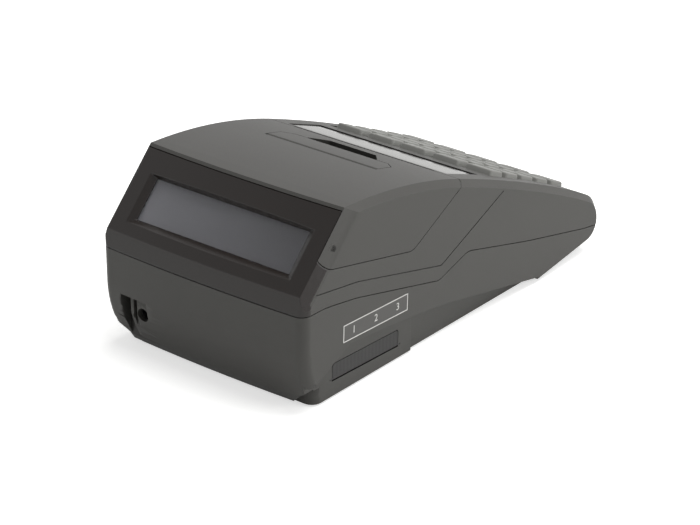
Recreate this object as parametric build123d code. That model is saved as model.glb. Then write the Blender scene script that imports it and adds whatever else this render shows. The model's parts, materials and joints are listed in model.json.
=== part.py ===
from build123d import *
from math import acos, asin, atan2, cos, degrees, radians, sin, sqrt, tan
import os

# Portable ticket register, modelled in millimetres.
# X runs across, +Y points at the customer display, -Y at the operator's nose, Z is up.
# The origin is on the table, under the middle of the housing.

# ---------------------------------------------------------------- fits and gaps
COVER_GAP = 0.35            # round moving covers
RUN_FIT = 0.05              # radial, shaft in bearing
LOOSE_FIT = 0.3             # between parts that only pass each other
SEAT_FIT = 0.1              # all round a part that is dropped into its seat
SHADOW_GAP = 0.4            # visible line between the two shells
LIP_HEIGHT = 1.8            # tongue of the lower shell inside the upper one
LIP_WALL = 1.2
LIP_FIT = 0.1
BEYOND = 40.0               # how far cutting tools reach past the housing
FUSE = 1.0                  # how far ribs and posts run into the wall that carries them
WALL = 2.4                  # moulded wall of both shells
SHARP_FROM = 1.8            # faces deeper in the wall than this keep their corners sharp
FOOT_HEIGHT = 1.0           # the feet lift the bottom by this much
BOTTOM = FOOT_HEIGHT

# ---------------------------------------------------------------- paper and printer, across
ROLL_WIDTH = 79.5           # 80 mm thermal paper
PLATEN_MARGIN = 0.25        # the platen is this much shorter than the paper at each end
HEAD_MARGIN = 0.25          # the head is this much longer
SLOT_MARGIN = 0.65          # and the paper slot is this much wider
CHEEK_ROOM = 0.6            # between the slot's end and the side plate of the printer
CHEEK_WALL = 1.4
GEAR_GAP = 0.6              # between a side plate and the gears
GEAR_WIDTH = 2.4
HANGER_GAP = 0.8            # between the gears and the cover's ribs that carry the platen
HANGER_WALL = 2.2
SHAFT_END = 0.2             # the platen shaft shows this much past its rib
TUB_ROOM = 1.8              # from there to the wall of the printer's tub
TUB_WALL = 1.6
SIDE_ROOM = 3.6             # between the tub and the side wall

SLOT_HALF = ROLL_WIDTH / 2 + SLOT_MARGIN
CHEEK_INNER = SLOT_HALF + CHEEK_ROOM
GEAR_X = CHEEK_INNER + CHEEK_WALL + GEAR_GAP
HANGER_INNER = GEAR_X + GEAR_WIDTH + HANGER_GAP
SHAFT_HALF = HANGER_INNER + HANGER_WALL + SHAFT_END
TUB_HALF = SHAFT_HALF + TUB_ROOM
SIDE = TUB_HALF + TUB_WALL + SIDE_ROOM + WALL
WIDTH = 2 * SIDE

# ---------------------------------------------------------------- keypad
KEY_COLUMNS = 5
KEY_ROWS = 5
KEY_PITCH = (19.0, 13.5)
KEY_SIZE = (16.4, 11.2)
KEY_CHAMFER = 0.7
KEY_PROUD = 2.2             # above the keypad floor
KEY_SKIRT = 3.2             # below it
KEY_FLANGE = 0.7            # retaining flange all round
KEY_FLANGE_WALL = 1.0
KEY_TRAVEL = 1.5
KEYPAD_SLOPE = 23.6         # of the deck, in degrees, where the keys are
KEYPAD_SINK = 1.0           # the floor lies this much under the ends of the top line
KEYPAD_FLOOR = 1.8
KEYPAD_MARGIN = 1.6
KEYPAD_EDGE = 2.0           # the floor plate reaches this far under the deck
KEY_REST = 0.3              # between a pressed key and the mat under it
MAT_DROP = KEY_SKIRT + KEY_TRAVEL + KEY_REST
MAT_WALL = 1.2
BOARD_WALL = 1.6
BOARD_INSET = 4.8           # the keypad board is this much narrower than the field, each side
BOARD_REACH = 4.8           # and this much longer, each end
MAT_INSET = 0.45
KEYPAD_FIELD = (KEY_PITCH[0] * (KEY_COLUMNS - 1) + KEY_SIZE[0] + 2 * KEYPAD_MARGIN,
                KEY_PITCH[1] * (KEY_ROWS - 1) + KEY_SIZE[1] + 2 * KEYPAD_MARGIN)

# ---------------------------------------------------------------- overall form
BAND_FOOT = 48.2            # foot of the glossy band, where the shells meet at the rear
BAND_HEIGHT = 8.7
DISPLAY_HEIGHT = 30.7       # of the sloped display, from its crease to the top edge
BEZEL_ANGLE = 46.1          # its slope
CREASE_DEPTH = 1.2          # the glossy band leans in by this much
COVER_REACH = 112.2         # rear wall to the front edge of the paper cover
WINDOW_MARGIN = 2.9         # from there to the operator's window
WINDOW_DEPTH = 23.6
KEYPAD_GAP = 8.8            # window to keypad
NOSE_REACH = 12.85          # keypad to nose
NOSE_HEIGHT = 16.28         # of the foremost point
BOW_RADIUS = 1000.0         # plan radius of all rear surfaces
CORNER_RADIUS = 5.0         # upright rear corners
BEVEL = 3.1                 # bevel along both long top edges
BEVEL_START = 17.5          # it runs over the arcs of the top line whose middle is higher than this
TUCK_RADIUS = 50.0          # the rear wall curls under with this radius
TUCK_START = 31.0           # height where it starts to curl
TUCK_ANGLE = 80.0           # and curls this far
INNER_TUCK_STEPS = 4        # inside, the curl is drawn in straight steps

# The top line from the rear edge to the nose is a chain of tangent arcs: radius and turn in degrees.
# The radii over the cover and the deck follow from the length and the height.
TOP_START_SLOPE = 1.5
TOP_FLAT = 0.7              # of the line behind the first arc
COVER_TURN = 17.5
DECK_TURN = 6.5
BROW_ARC = (268.0, 3.8)
NOSE_ARC = (14.8, 65.7)
CHIN_ARC = (11.7, 77.3)

LENGTH = (COVER_REACH + WINDOW_MARGIN + WINDOW_DEPTH + KEYPAD_GAP
          + KEYPAD_FIELD[1] * cos(radians(KEYPAD_SLOPE)) + NOSE_REACH)
REAR = LENGTH / 2
NOSE = -LENGTH / 2
CREASE_HEIGHT = BAND_FOOT + BAND_HEIGHT
HEIGHT = CREASE_HEIGHT + DISPLAY_HEIGHT
CREASE = (REAR - CREASE_DEPTH, CREASE_HEIGHT)
TOP_EDGE = (CREASE[0] - DISPLAY_HEIGHT / tan(radians(BEZEL_ANGLE)) - TOP_FLAT, HEIGHT)

# ---------------------------------------------------------------- paper cover and lever
COVER_FRONT = REAR - COVER_REACH
SKIRT_LOW = (COVER_FRONT + 36.6, HEIGHT - 35.1)     # lowest corner of the cover's skirt
SKIRT_CORNER_RADIUS = 7.0
SKIRT_TOP_REACH = 3.8       # where it turns across the top, from the cover's front
SKIRT_TOP_DROP = 4.5        # under the top line
RIM_RISE = 2.0
RIM_RADIUS = 2.0
KNUCKLE_RADIUS = 8.7
HINGE_DROP = 14.8           # hinge under the top edge
HINGE_INSET = 6.2           # ahead of the display face
KNUCKLE_FALL = 16.4         # fall, in degrees, of the edge from the hinge to the display face
COVER_LIP = 1.2             # the cover's top wall thins to this over the display's top edge
ARM_WALL = 3.2              # side walls of the cover
LEVER_REAR = COVER_FRONT + 29.6
LEVER_WAIST = COVER_FRONT + 19.0
LEVER_FRONT = COVER_FRONT + 14.9
LEVER_HALF = 31.7
LEVER_FRONT_HALF = 26.8
LEVER_WALL = 1.9
BARREL_SINK = 1.03          # the barrel's middle lies this many radii under the top line
LEVER_PIN_RADIUS = 0.8
LEVER_PIN_SEAT = 1.4        # how far the pin's ends sit in the cover
SCOOP_FRONT = COVER_FRONT + 6.1
SCOOP_CORNER = 1.0          # the scoop widens over this much ahead of the lever
SCOOP_HALF = 20.0
SCOOP_FRONT_HALF = 13.3
WELL_DEPTH = 5.0
WELL_WALL = 1.4
HINGE = (CREASE[0] - (DISPLAY_HEIGHT - HINGE_DROP) / tan(radians(BEZEL_ANGLE)) - HINGE_INSET,
         HEIGHT - HINGE_DROP)

# ---------------------------------------------------------------- seam lines, in Y and Z
# Line between the lower and the upper shell, from the rear to the nose.
SEAM_DIP = (REAR - 94.9, BAND_FOOT - 17.3)
SEAM_PEAK = (REAR - 116.4, BAND_FOOT - 10.8)
SEAM_NOSE = (NOSE + 13.5, NOSE_HEIGHT - 1.5)
SEAM_SAG = 0.8              # the long front stretch hangs by this much at its middle
SEAM = [(REAR + BEYOND, BAND_FOOT), (REAR - 15.5, BAND_FOOT), (REAR - 36.5, BAND_FOOT - 3.3),
        SEAM_DIP, SEAM_PEAK,
        ((SEAM_PEAK[0] + SEAM_NOSE[0]) / 2, (SEAM_PEAK[1] + SEAM_NOSE[1]) / 2 - SEAM_SAG),
        SEAM_NOSE, (NOSE - BEYOND, NOSE_HEIGHT - 9.8)]
SEAM_RADII = [60.0, 60.0, 6.0, 9.0, 300.0, 60.0]
# Lower edge of the side walls, which arch over an inset foot.
ARCH = [(REAR + BEYOND, 12.6), (REAR - 7.0, 12.6), (REAR - 32.4, 24.9), (REAR - 56.5, 22.8),
        (REAR - 96.3, 17.9), (NOSE + 49.5, 2.6)]
ARCH_RADII = [4.0, 5.0, 60.0, 60.0]
# Ornamental groove along the upper shell.
GROOVE = [(REAR - 9.8, BAND_FOOT + 7.8), (REAR - 37.5, BAND_FOOT + 3.9), (REAR - 96.5, BAND_FOOT - 10.6),
          (REAR - 142.5, BAND_FOOT + 9.4)]
GROOVE_RADII = [40.0, 3.0]
GROOVE_WIDTH = 0.5
GROOVE_DEPTH = 0.4

# ---------------------------------------------------------------- customer display
FACET_MARGIN = 3.0          # the facet leaves the display face this far from the side
FACET_DEPTH = 6.5           # its depth along the side wall
BEZEL_WALL = 2.2
BEZEL_HALF = SIDE - ARM_WALL - LOOSE_FIT            # half width between the cover's arms
BEZEL_SIDE_EDGE = 6.6       # the band wraps this far round the rear corners
GLASS_SIZE = (86.6, 20.1)
GLASS_RUN = 19.35           # its middle, up the slope from the crease
GLASS_WALL = 1.2
GLASS_LEDGE = 1.6           # the glass is this much larger all round than its window
RECESS_MARGIN = (4.45, 2.6) # the mouth of the display recess is this much larger
RECESS_SHIFT = 1.2          # and this much lower
RECESS_DEPTH = 3.0
TRAY_WALL = 1.8
TRAY_BACK = 1.0             # the tray reaches this far behind the glass
CUSTOMER_LCD_DEPTH = 5.0
FLANGE_WALL = 2.1           # side flanges of the bezel that carry the hinge pins
FLANGE_DEPTH = 8.5
HINGE_PIN_RADIUS = 1.5
HINGE_PIN_HOLE = 1.5        # depth of the blind hole in the cover's arm
DISPLAY_ROOM = 12.0         # depth kept clear behind the display
DISPLAY_MARGIN = 7.5        # and from the side of the housing to that space
SCREEN_WALL = 1.6           # wall of the upper shell round it

# ---------------------------------------------------------------- printer and paper, along
PLATEN_Y = COVER_FRONT + 6.7
PLATEN_DROP = 14.8          # middle of the platen under the top line
PLATEN_RADIUS = 5.5
SHAFT_RADIUS = 2.0
ROLL_Y = PLATEN_Y + 39.0
ROLL_RADIUS = 25.0
ROLL_ROOM = 6.0             # between the roll and the cover
CORE_RADIUS = 8.5
CORE_WALL = 2.0
ROLL_SIDES = 48
CORE_SIDES = 24
TROUGH_FIT = 1.5            # room round the roll
TROUGH_WALL = 2.0
DECK_WALL = 2.0             # inner deck under the cover
GEAR_MODULE = 0.6
PLATEN_TEETH = 22
IDLER_TEETH = 26
MOTOR_TEETH = 12
IDLER_BEARING = 225.0       # direction of the idler from the platen, in degrees
HANGER_HALF = 4.4
MOTOR_HALF = 7.5
MOTOR_CORNER = 2.0
MOTOR_LENGTH = 13.0
MOTOR_SHAFT_RADIUS = 1.0
STUD_RADIUS = 1.5
STUD_END = 0.4              # the idler's stud shows this much
HEAD_BEARING = 215.0        # side of the platen that the print head faces
HEAD_HALF = 6.0
HEAD_WALL = 2.5
HEAD_PIN_RADIUS = 1.0
HEAD_BARREL = 1.2           # wall round the head's pin
TUB_FALL = 20.5             # tub floor under the platen's middle
TUB_FRONT = PLATEN_Y - 31.0
TUB_REAR = PLATEN_Y + 10.0
TUB_FLOOR_WALL = 2.0
FRAME_MARGIN = (1.0, 4.0)   # printer frame inside the tub, front and rear
BEARING_MARGIN = (1.3, 0.6) # the side plates' slot is this much wider than the shaft, front and rear
CHEEK_NECK = 6.8            # the side plates narrow this far ahead of the platen
CHEEK_LOW = (14.0, 4.5)     # their low front part: ahead of and below the platen's middle
CROSS_WALL_REACH = 11.4     # cross wall of the frame, ahead of the platen
CROSS_WALL = 1.2
CROSS_HEIGHT = 15.0
SPRING_WALL = 0.5
SPRING_HALF = 12.0
SPRING_STEPS = (3.0, 10.0, 14.5)                    # foot, bend and tip above the tub floor
SPRING_LEAN = 1.9
SLOT_FRONT = COVER_FRONT - 1.3
BLADE_WALL = 0.5
BLADE_HEIGHT = 6.0
BLADE_SINK = 0.6            # its points lie this far under the top line
TOOTH_PITCH = 2.02
TOOTH_HEIGHT = 0.8
SLOT_RIB = (3.0, 2.4, 8.6)  # rib that carries the blade: past the slot, ahead of it, and its depth
SLOT_CUT = 12.6             # depth of the paper slot

# ---------------------------------------------------------------- operator's window
WINDOW_REAR = COVER_FRONT - WINDOW_MARGIN
WINDOW_FRONT = WINDOW_REAR - WINDOW_DEPTH
WINDOW_HALF = SIDE - 12.0
WINDOW_SINK = 0.4
WINDOW_WALL = 1.2
OPERATOR_LCD_SIZE = (82.0, 17.0, 5.0)
OPERATOR_LCD_DROP = 3.0     # the module's face below the top line
OPERATOR_LCD_RIM = 2.0

# ---------------------------------------------------------------- base
FOOT_INSET_PORTS = SIDE - 3.7                       # half width of the inset foot beside the sockets
FOOT_INSET_FRONT = SIDE - 5.2                       # and ahead of them
FOOT_LIFT = 1.15            # the foot's inner wall clears the arch by this many walls
FOOT_REAR = REAR - 12.0     # rear face of the inset foot at the corners
# Plan of the hollow under each rear corner: distance in from the side, and height.
HEEL = [(15.0, -BEYOND), (15.0, 0.0), (8.0, 6.5), (4.5, 9.0), (0.0, 12.9), (-8.0, 14.0), (-8.0, -BEYOND)]
PORT_REAR = REAR - 24.5
PORT_LENGTH = 46.0
PORT_FRONT = PORT_REAR - PORT_LENGTH
PORT_BAY_FRONT = PORT_FRONT - 9.0
PORT_HEIGHT = 8.5
PORT_CENTRE_HEIGHT = 11.6
PORT_TILT = 2.0
PORT_CORNER = 1.5
PORT_COVER_WALL = 1.6
PORT_PIN_SEAT = 1.2
PORT_DEPTH = 5.0            # the opening behind the port cover
LABEL_AHEAD = 2.7           # label's middle, ahead of the port cover's
LABEL_HEIGHT = 29.8
LABEL_SIZE = (44.6, 8.2)
LABEL_WALL = 0.3
MAIN_BOARD_HEIGHT = 6.0
MAIN_BOARD_HALF = SIDE - 14.0
MAIN_BOARD_FRONT = REAR - 93.5
MAIN_BOARD_REAR = REAR - 21.5
SOCKET_SETBACK = 3.2        # sockets behind the face of the inset foot
SOCKET_SIZE = (7.6, 9.6, 8.0)
SOCKET_WALL = 1.2
SOCKET_BACK = 1.6
SOCKET_COUNT = 4
SOCKET_PITCH = 11.2
JACK_RECESS_RIGHT = SIDE - 10.9                     # the recess in the rear wall, for the power jack
JACK_RECESS_LEFT = JACK_RECESS_RIGHT - 15.8
JACK_RECESS_TOP = 27.6
JACK_RECESS_DEPTH = 2.0
JACK_RECESS_FOOT = -1.0
JACK_RIB_RIGHT = JACK_RECESS_RIGHT - 5.4
JACK_RIB_LEFT = JACK_RIB_RIGHT - 1.7
JACK_SLOT_LEFT = JACK_RIB_LEFT - 2.0
JACK_SLOT_DEPTH = 4.0       # of the narrow slot beside the jack
JACK_WELL_DEPTH = 8.0       # and of the wide one
JACK_CENTRE = (JACK_RECESS_LEFT + 3.3, 20.5)
JACK_RADIUS = 3.2           # hole that the plug passes
JACK_FACE = 4.6             # face of the jack behind the rear wall
JACK_BODY = (9.0, 11.0, 9.0)
JACK_BORE = 2.8
JACK_PIN = 1.0
JACK_PIN_SETBACK = 1.0
JACK_BACK = 2.0             # wall behind the bore
JACK_BLOCK = (2.0, 14.0, 2.0)                       # wall beside, depth and wall above the recess
BATTERY_SIZE = (62.0, 34.0, 17.0)
BATTERY_CENTRE = NOSE + 64.5
BAY_WALL = 1.7
BAY_ROOF = 1.6
DOOR_WALL = 1.8
DOOR_TRAVEL = 8.0
DOOR_MARGIN = 3.0
FOOT_RADIUS = 5.0
FOOT_SIDES = 12
FOOT_SINK = 0.6
FEET = [(SIDE - 14.0, REAR - 31.5), (SIDE - 14.0, NOSE + 51.5)]

# ---------------------------------------------------------------- screws and their posts
SCREW_SIDES = 6             # screws and posts are drawn as prisms with this many sides
POST_RADIUS = 3.2
KEYPAD_POST_RADIUS = 2.4
SCREW_RADIUS = 1.25
SCREW_HEAD_RADIUS = 2.6
SCREW_HEAD = 1.6
SCREW_HOLE_FIT = 0.25
HEAD_HOLE_FIT = 0.4
SHELL_JOINT = 20.0          # height where the two shells' posts meet
SHELL_SCREW_SEAT = 1.8      # the head sits this deep in the bottom
SHELL_SCREW_BITE = 5.0
SHELL_SCREW_HOLE = 8.0
BOARD_SCREW_BITE = 2.4
KEYPAD_SCREW_BITE = 3.0
SHELL_SCREWS = [(SIDE - 12.5, REAR - 17.5), (SIDE - 11.5, WINDOW_FRONT - 2.3)]
BOARD_POSTS = [(SIDE - 24.0, MAIN_BOARD_FRONT + 6.0), (SIDE - 24.0, MAIN_BOARD_REAR - 6.0)]
KEYPAD_POSTS = [(30.0, KEYPAD_FIELD[1] / 2 + 2.3), (30.0, -KEYPAD_FIELD[1] / 2 - 2.3)]


# ================================================================ the housing's form
def arc_step(heading, turn):
    """Chord of an arc of radius one that starts at a heading and turns left, in degrees."""
    start, end = radians(heading), radians(heading + turn)
    return Vector(sin(end) - sin(start), cos(start) - cos(end))


def top_arcs():
    """The top line as radius and turn of each arc; the two long radii bring it to the nose's tip."""
    heading = 180.0 + TOP_START_SLOPE
    cover = arc_step(heading, COVER_TURN)
    deck = arc_step(heading + COVER_TURN, DECK_TURN)
    heading += COVER_TURN + DECK_TURN
    brow = arc_step(heading, BROW_ARC[1]) * BROW_ARC[0]
    heading += BROW_ARC[1]
    tip = arc_step(heading, 270.0 - heading) * NOSE_ARC[0]
    reach = Vector(NOSE, NOSE_HEIGHT) - Vector(*TOP_EDGE) - brow - tip
    share = cover.X * deck.Y - cover.Y * deck.X
    cover_radius = (reach.X * deck.Y - reach.Y * deck.X) / share
    deck_radius = (cover.X * reach.Y - cover.Y * reach.X) / share
    return [(cover_radius, COVER_TURN), (deck_radius, DECK_TURN), BROW_ARC, NOSE_ARC, CHIN_ARC]


def top_point(y):
    """Height of the top line at a place along the housing, and its slope there in degrees."""
    heading = 180.0 + TOP_START_SLOPE
    start = Vector(*TOP_EDGE)
    for radius, turn in top_arcs():
        end = start + arc_step(heading, turn) * radius
        if y >= end.X:
            centre = start + Vector(-sin(radians(heading)), cos(radians(heading))) * radius
            rise = sqrt(radius ** 2 - (y - centre.X) ** 2)
            return centre.Y + rise, degrees(atan2(centre.X - y, rise))
        start = end
        heading += turn


def top_height(y):
    return top_point(y)[0]


def polar(centre, distance, bearing):
    return (centre[0] + distance * cos(radians(bearing)), centre[1] + distance * sin(radians(bearing)))


# Places that follow the top line.
SKIRT_TOP = (COVER_FRONT + SKIRT_TOP_REACH, top_height(COVER_FRONT + SKIRT_TOP_REACH) - SKIRT_TOP_DROP)
PLATEN_CENTRE = (PLATEN_Y, top_height(PLATEN_Y) - PLATEN_DROP)
ROLL_CENTRE = (ROLL_Y, top_height(ROLL_Y) - WALL - ROLL_ROOM - ROLL_RADIUS)
TUB_FLOOR = PLATEN_CENTRE[1] - TUB_FALL
LEVER_AXIS = (LEVER_REAR - LEVER_WALL, top_height(LEVER_REAR - LEVER_WALL) - LEVER_WALL * BARREL_SINK)
SLOT_TOP = top_height(SLOT_FRONT)
IDLER_CENTRE = polar(PLATEN_CENTRE, (PLATEN_TEETH + IDLER_TEETH) * GEAR_MODULE / 2, IDLER_BEARING)
MOTOR_HEIGHT = TUB_FLOOR + MOTOR_HALF + LOOSE_FIT
MOTOR_REACH = (IDLER_TEETH + MOTOR_TEETH) * GEAR_MODULE / 2
MOTOR_CENTRE = (IDLER_CENTRE[0] - sqrt(MOTOR_REACH ** 2 - (IDLER_CENTRE[1] - MOTOR_HEIGHT) ** 2),
                MOTOR_HEIGHT)


def side_face(inset):
    """The long section of the housing, each line moved in by inset."""
    heading = 180.0 + TOP_START_SLOPE
    inward = Vector(-sin(radians(heading)), cos(radians(heading)))
    start = Vector(*TOP_EDGE) + inward * inset
    edges = []
    end = start
    for radius, turn in top_arcs():
        direction = (cos(radians(heading)), sin(radians(heading)))
        arc = JernArc(end, direction, radius - inset, turn)
        edges.append(arc)
        end = arc @ 1
        heading += turn
    floor = BOTTOM + inset
    belly = (end.X + (end.Y - floor) / tan(radians(360.0 - heading)), floor)
    past = REAR + BEYOND
    roof = start.Y + (past - start.X) * tan(radians(TOP_START_SLOPE))
    edges.append(Line(end, belly))
    edges.append(Line(belly, (past, floor)))
    edges.append(Line((past, floor), (past, roof)))
    edges.append(Line((past, roof), start))
    return make_face(edges)


def tuck_point(inset, angle):
    """A point on the curl of the rear wall, by its angle under the horizontal."""
    radius = TUCK_RADIUS - inset
    return (REAR - inset - radius + radius * cos(radians(angle)), TUCK_START - radius * sin(radians(angle)))


def rear_face(inset):
    """Everything ahead of the rear wall and the sloped display, moved in by inset."""
    slope = radians(BEZEL_ANGLE)
    wall = REAR - inset
    face_y = CREASE[0] - inset * sin(slope)
    face_z = CREASE[1] - inset * cos(slope)
    corner = (wall, face_z - (wall - face_y) * tan(slope))
    high = HEIGHT + BEYOND
    crown = (face_y - (high - face_z) / tan(slope), high)
    front = NOSE - BEYOND
    curl = [tuck_point(inset, TUCK_ANGLE * step / INNER_TUCK_STEPS) for step in range(INNER_TUCK_STEPS + 1)]
    edges = [ThreePointArc(curl[0], curl[INNER_TUCK_STEPS // 2], curl[-1])]
    if inset > SHARP_FROM:
        edges = [Polyline(*curl)]
    return make_face(edges + [Polyline(curl[-1], (front, curl[-1][1]), (front, high), crown, corner,
                                       curl[0])])


def bowed(face):
    """Turns a Y-Z face about the upright axis of the rear bow."""
    axis = Axis((0, REAR - BOW_RADIUS, 0), (0, 0, 1))
    half = degrees(asin((SIDE + BEYOND) / BOW_RADIUS))
    return revolve((Plane.YZ * face).rotate(axis, -half), axis=axis, revolution_arc=2 * half)


def across(face, low=-SIDE - BEYOND, high=SIDE + BEYOND):
    """Runs a Y-Z face across the housing from low to high."""
    return extrude(Plane.YZ.offset(low) * face, amount=high - low)


def polygon(*points):
    return make_face(Polyline(*points, close=True))


def outline(points, radii=()):
    """A closed Y-Z face; its inner corners after the first point are rounded by radii."""
    if not radii:
        return polygon(*points)
    edge = FilletPolyline(*points[:len(radii) + 2], radius=list(radii))
    return make_face([edge, Polyline(points[len(radii) + 1], *points[len(radii) + 2:], points[0])])


def upright(face, low=HEIGHT / 2, high=HEIGHT + BEYOND):
    """Runs a plan face upwards through the top wall."""
    return extrude(Plane.XY.offset(low) * face, amount=high - low)


def block(left, right, front, rear, low, high):
    """A box between six planes."""
    return Pos((left + right) / 2, (front + rear) / 2, (low + high) / 2) * Box(right - left, rear - front,
                                                                                high - low)


def prism(radius, height, sides=SCREW_SIDES):
    """An upright prism, as the screws, their posts and the feet are drawn."""
    return extrude(RegularPolygon(radius, sides), height)


def top_solid(inset, half_width):
    """The long section run across, with both long top edges bevelled."""
    body = across(side_face(inset), -half_width, half_width)
    if inset > SHARP_FROM:
        return body
    edges = [edge for edge in body.edges().filter_by(GeomType.CIRCLE)
             if abs(edge.center().X) > half_width - SEAT_FIT and edge.center().Z > BEVEL_START]
    return chamfer(edges, BEVEL - inset * (2 - sqrt(2)))


def edge_facets():
    """Tools that flatten the corners between the sloped display and the side walls."""
    display = display_plane()
    start = SIDE - FACET_MARGIN
    sag = start ** 2 / (2 * BOW_RADIUS)
    tools = []
    for hand in (-1, 1):
        across_facet = Vector(hand * FACET_MARGIN, 0, 0) - display.z_dir * FACET_DEPTH
        out = across_facet.cross(display.y_dir).normalized()
        out = out if out.X * hand > 0 else -out
        plane = Plane(origin=(hand * start, CREASE[0] - sag, CREASE[1]), x_dir=display.y_dir, z_dir=out)
        tools.append(plane * Box(5 * BEYOND, BEYOND, BEYOND, align=(Align.CENTER, Align.CENTER, Align.MIN)))
    return tools


def band_lean():
    """Tool that leans the glossy band in, from its foot to the crease."""
    return bowed(polygon((REAR, BAND_FOOT), (REAR + 1, BAND_FOOT), (REAR + 1, CREASE_HEIGHT), CREASE))


def housing(inset, half_width=None):
    """The closed outer form moved in by inset: the walls lie between two of these."""
    half_width = SIDE - inset if half_width is None else half_width
    body = top_solid(inset, half_width) & bowed(rear_face(inset))
    if inset > SHARP_FROM:
        return body
    corners = [edge for edge in body.edges()
               if abs(edge.center().X) > half_width - SEAT_FIT and edge.center().Y > REAR - 4 * CORNER_RADIUS
               and edge.bounding_box().size.Z > CORNER_RADIUS and edge.center().Z < CREASE_HEIGHT]
    if inset:
        return chamfer(corners, (CORNER_RADIUS - inset) * (2 - sqrt(2)))
    return fillet(corners, CORNER_RADIUS) - band_lean() - edge_facets()


def above(points, radii=(), lift=0.0):
    """The space above a seam line, across the whole housing."""
    moved = [(y, z + lift) for y, z in points]
    sky = HEIGHT + 2 * BEYOND
    return across(outline(moved + [(moved[-1][0], sky), (moved[0][0], sky)], radii))


def cover_space(gap=0.0):
    """The space that the hinged paper cover takes, grown by gap."""
    hinge = Vector(*HINGE)
    reach = Vector(*SKIRT_LOW) - hinge
    spread = degrees(acos(KNUCKLE_RADIUS / reach.length))
    tangent = hinge + reach.normalized().rotate(Axis.Z, spread) * KNUCKLE_RADIUS
    far = polar(HINGE, BEYOND + HINGE_INSET, -KNUCKLE_FALL)
    sky = HEIGHT + 2 * BEYOND
    points = [(tangent.X, tangent.Y), SKIRT_LOW, SKIRT_TOP, (COVER_FRONT, SKIRT_TOP[1] + RIM_RISE),
              (COVER_FRONT, sky), (far[0], sky), far, HINGE]
    face = outline(points, [SKIRT_CORNER_RADIUS, RIM_RADIUS])
    if gap:
        face = offset(face, amount=gap)
    return across(face) + across(Pos(*HINGE) * Circle(KNUCKLE_RADIUS + gap))


def skin(outer, inner, half_width=None):
    """The moulded wall between two insets of the housing."""
    return housing(outer) - housing(inner, half_width)


def top_slice(near, far, half, front, rear):
    """A slice that follows the top line, between two depths below it."""
    plan = upright(Pos(0, (front + rear) / 2) * Rectangle(2 * half, rear - front))
    return (plan & top_solid(near, SIDE)) - top_solid(far, SIDE)


# ================================================================ customer display
def display_plane(depth=0.0, run=0.0):
    """Plane of the sloped display: local Y runs up the slope, Z outwards."""
    slope = radians(BEZEL_ANGLE)
    out = Vector(0, sin(slope), cos(slope))
    up = Vector(0, -cos(slope), sin(slope))
    return Plane(origin=Vector(0, *CREASE) - out * depth + up * run, x_dir=(-1, 0, 0), z_dir=out)


def display_slab(depth, half_width, start=-BEYOND):
    """A slab under the sloped display face, from start to depth, run up the whole slope."""
    tool = Box(2 * half_width, 6 * BEYOND, depth - start, align=(Align.CENTER, Align.CENTER, Align.MIN))
    return display_plane() * Pos(0, 0, -depth) * tool


def display_block(size, run, near, far):
    """A block behind the display face, between two depths."""
    return extrude(display_plane(far, run) * Rectangle(*size), amount=far - near)


def glass_size(grow):
    """Width and height of the customer glass, grown all round."""
    return (GLASS_SIZE[0] + 2 * grow, GLASS_SIZE[1] + 2 * grow)


def bezel_space(gap=0.0):
    """The space of the glossy display frame: the band, the corners and the sloped face."""
    slope = radians(BEZEL_ANGLE)
    depth = FACET_DEPTH + gap
    line_y = CREASE[0] - depth * sin(slope)
    line_z = CREASE[1] - depth * cos(slope)
    edge = REAR - BEZEL_SIDE_EDGE - gap
    turn = line_z + (line_y - edge) * tan(slope)
    sky = HEIGHT + BEYOND
    top = (line_y - (sky - line_z) / tan(slope), sky)
    return across(polygon((edge, BAND_FOOT), (edge, turn), top, (REAR + BEYOND, sky),
                          (REAR + BEYOND, BAND_FOOT)))


def display_funnel():
    """The sloping walls of the display recess, from above the face down to the glass."""
    half_width, half_height = GLASS_SIZE[0] / 2, GLASS_SIZE[1] / 2
    rise = RECESS_DEPTH / 2
    reach = 1 + rise / RECESS_DEPTH
    wide = half_width + RECESS_MARGIN[0] * reach
    tall, shift = half_height + RECESS_MARGIN[1] * reach, RECESS_SHIFT * reach
    sides = polygon((-half_width, -RECESS_DEPTH), (half_width, -RECESS_DEPTH), (wide, rise), (-wide, rise))
    ends = polygon((-half_height, -RECESS_DEPTH), (half_height, -RECESS_DEPTH), (tall - shift, rise),
                   (-tall - shift, rise))
    wedge = extrude(Plane.XZ * sides, BEYOND, both=True) & extrude(Plane.YZ * ends, WIDTH, both=True)
    return display_plane(0, GLASS_RUN) * wedge


def customer_bezel():
    """Glossy display frame: sloped face, band, corners, glass tray and hinge flanges in one moulding."""
    band = (skin(0, WALL) & bezel_space()) - cover_space(COVER_GAP)
    band -= housing(LIP_WALL) - above(SEAM, (), LIP_HEIGHT + LIP_FIT)
    upper_part = above([(REAR + BEYOND, CREASE_HEIGHT), (NOSE, CREASE_HEIGHT)])
    plate = housing(0) & display_slab(BEZEL_WALL, BEZEL_HALF) & upper_part
    plate &= top_solid(COVER_LIP + COVER_GAP, SIDE)
    tray = display_block(glass_size(GLASS_LEDGE + TRAY_WALL), GLASS_RUN, BEZEL_WALL - FUSE,
                         RECESS_DEPTH + GLASS_WALL + TRAY_BACK)
    flanges = housing(0) & display_slab(FLANGE_DEPTH, BEZEL_HALF, BEZEL_WALL / 2)
    flanges -= display_slab(FLANGE_DEPTH + 1, BEZEL_HALF - FLANGE_WALL)
    flange_run = display_plane().to_local_coords(Vector(0, *HINGE)).Y
    flanges &= display_block((2 * BEZEL_HALF, 2 * FLANGE_DEPTH), flange_run, -BEYOND, BEYOND)
    bezel = band + plate + (tray & housing(0)) + flanges
    pocket = display_block(glass_size(GLASS_LEDGE), GLASS_RUN, RECESS_DEPTH, BEYOND / 2)
    bezel = bezel - display_funnel() - pocket
    return bezel - across(Pos(*HINGE) * Circle(HINGE_PIN_RADIUS))


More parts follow.
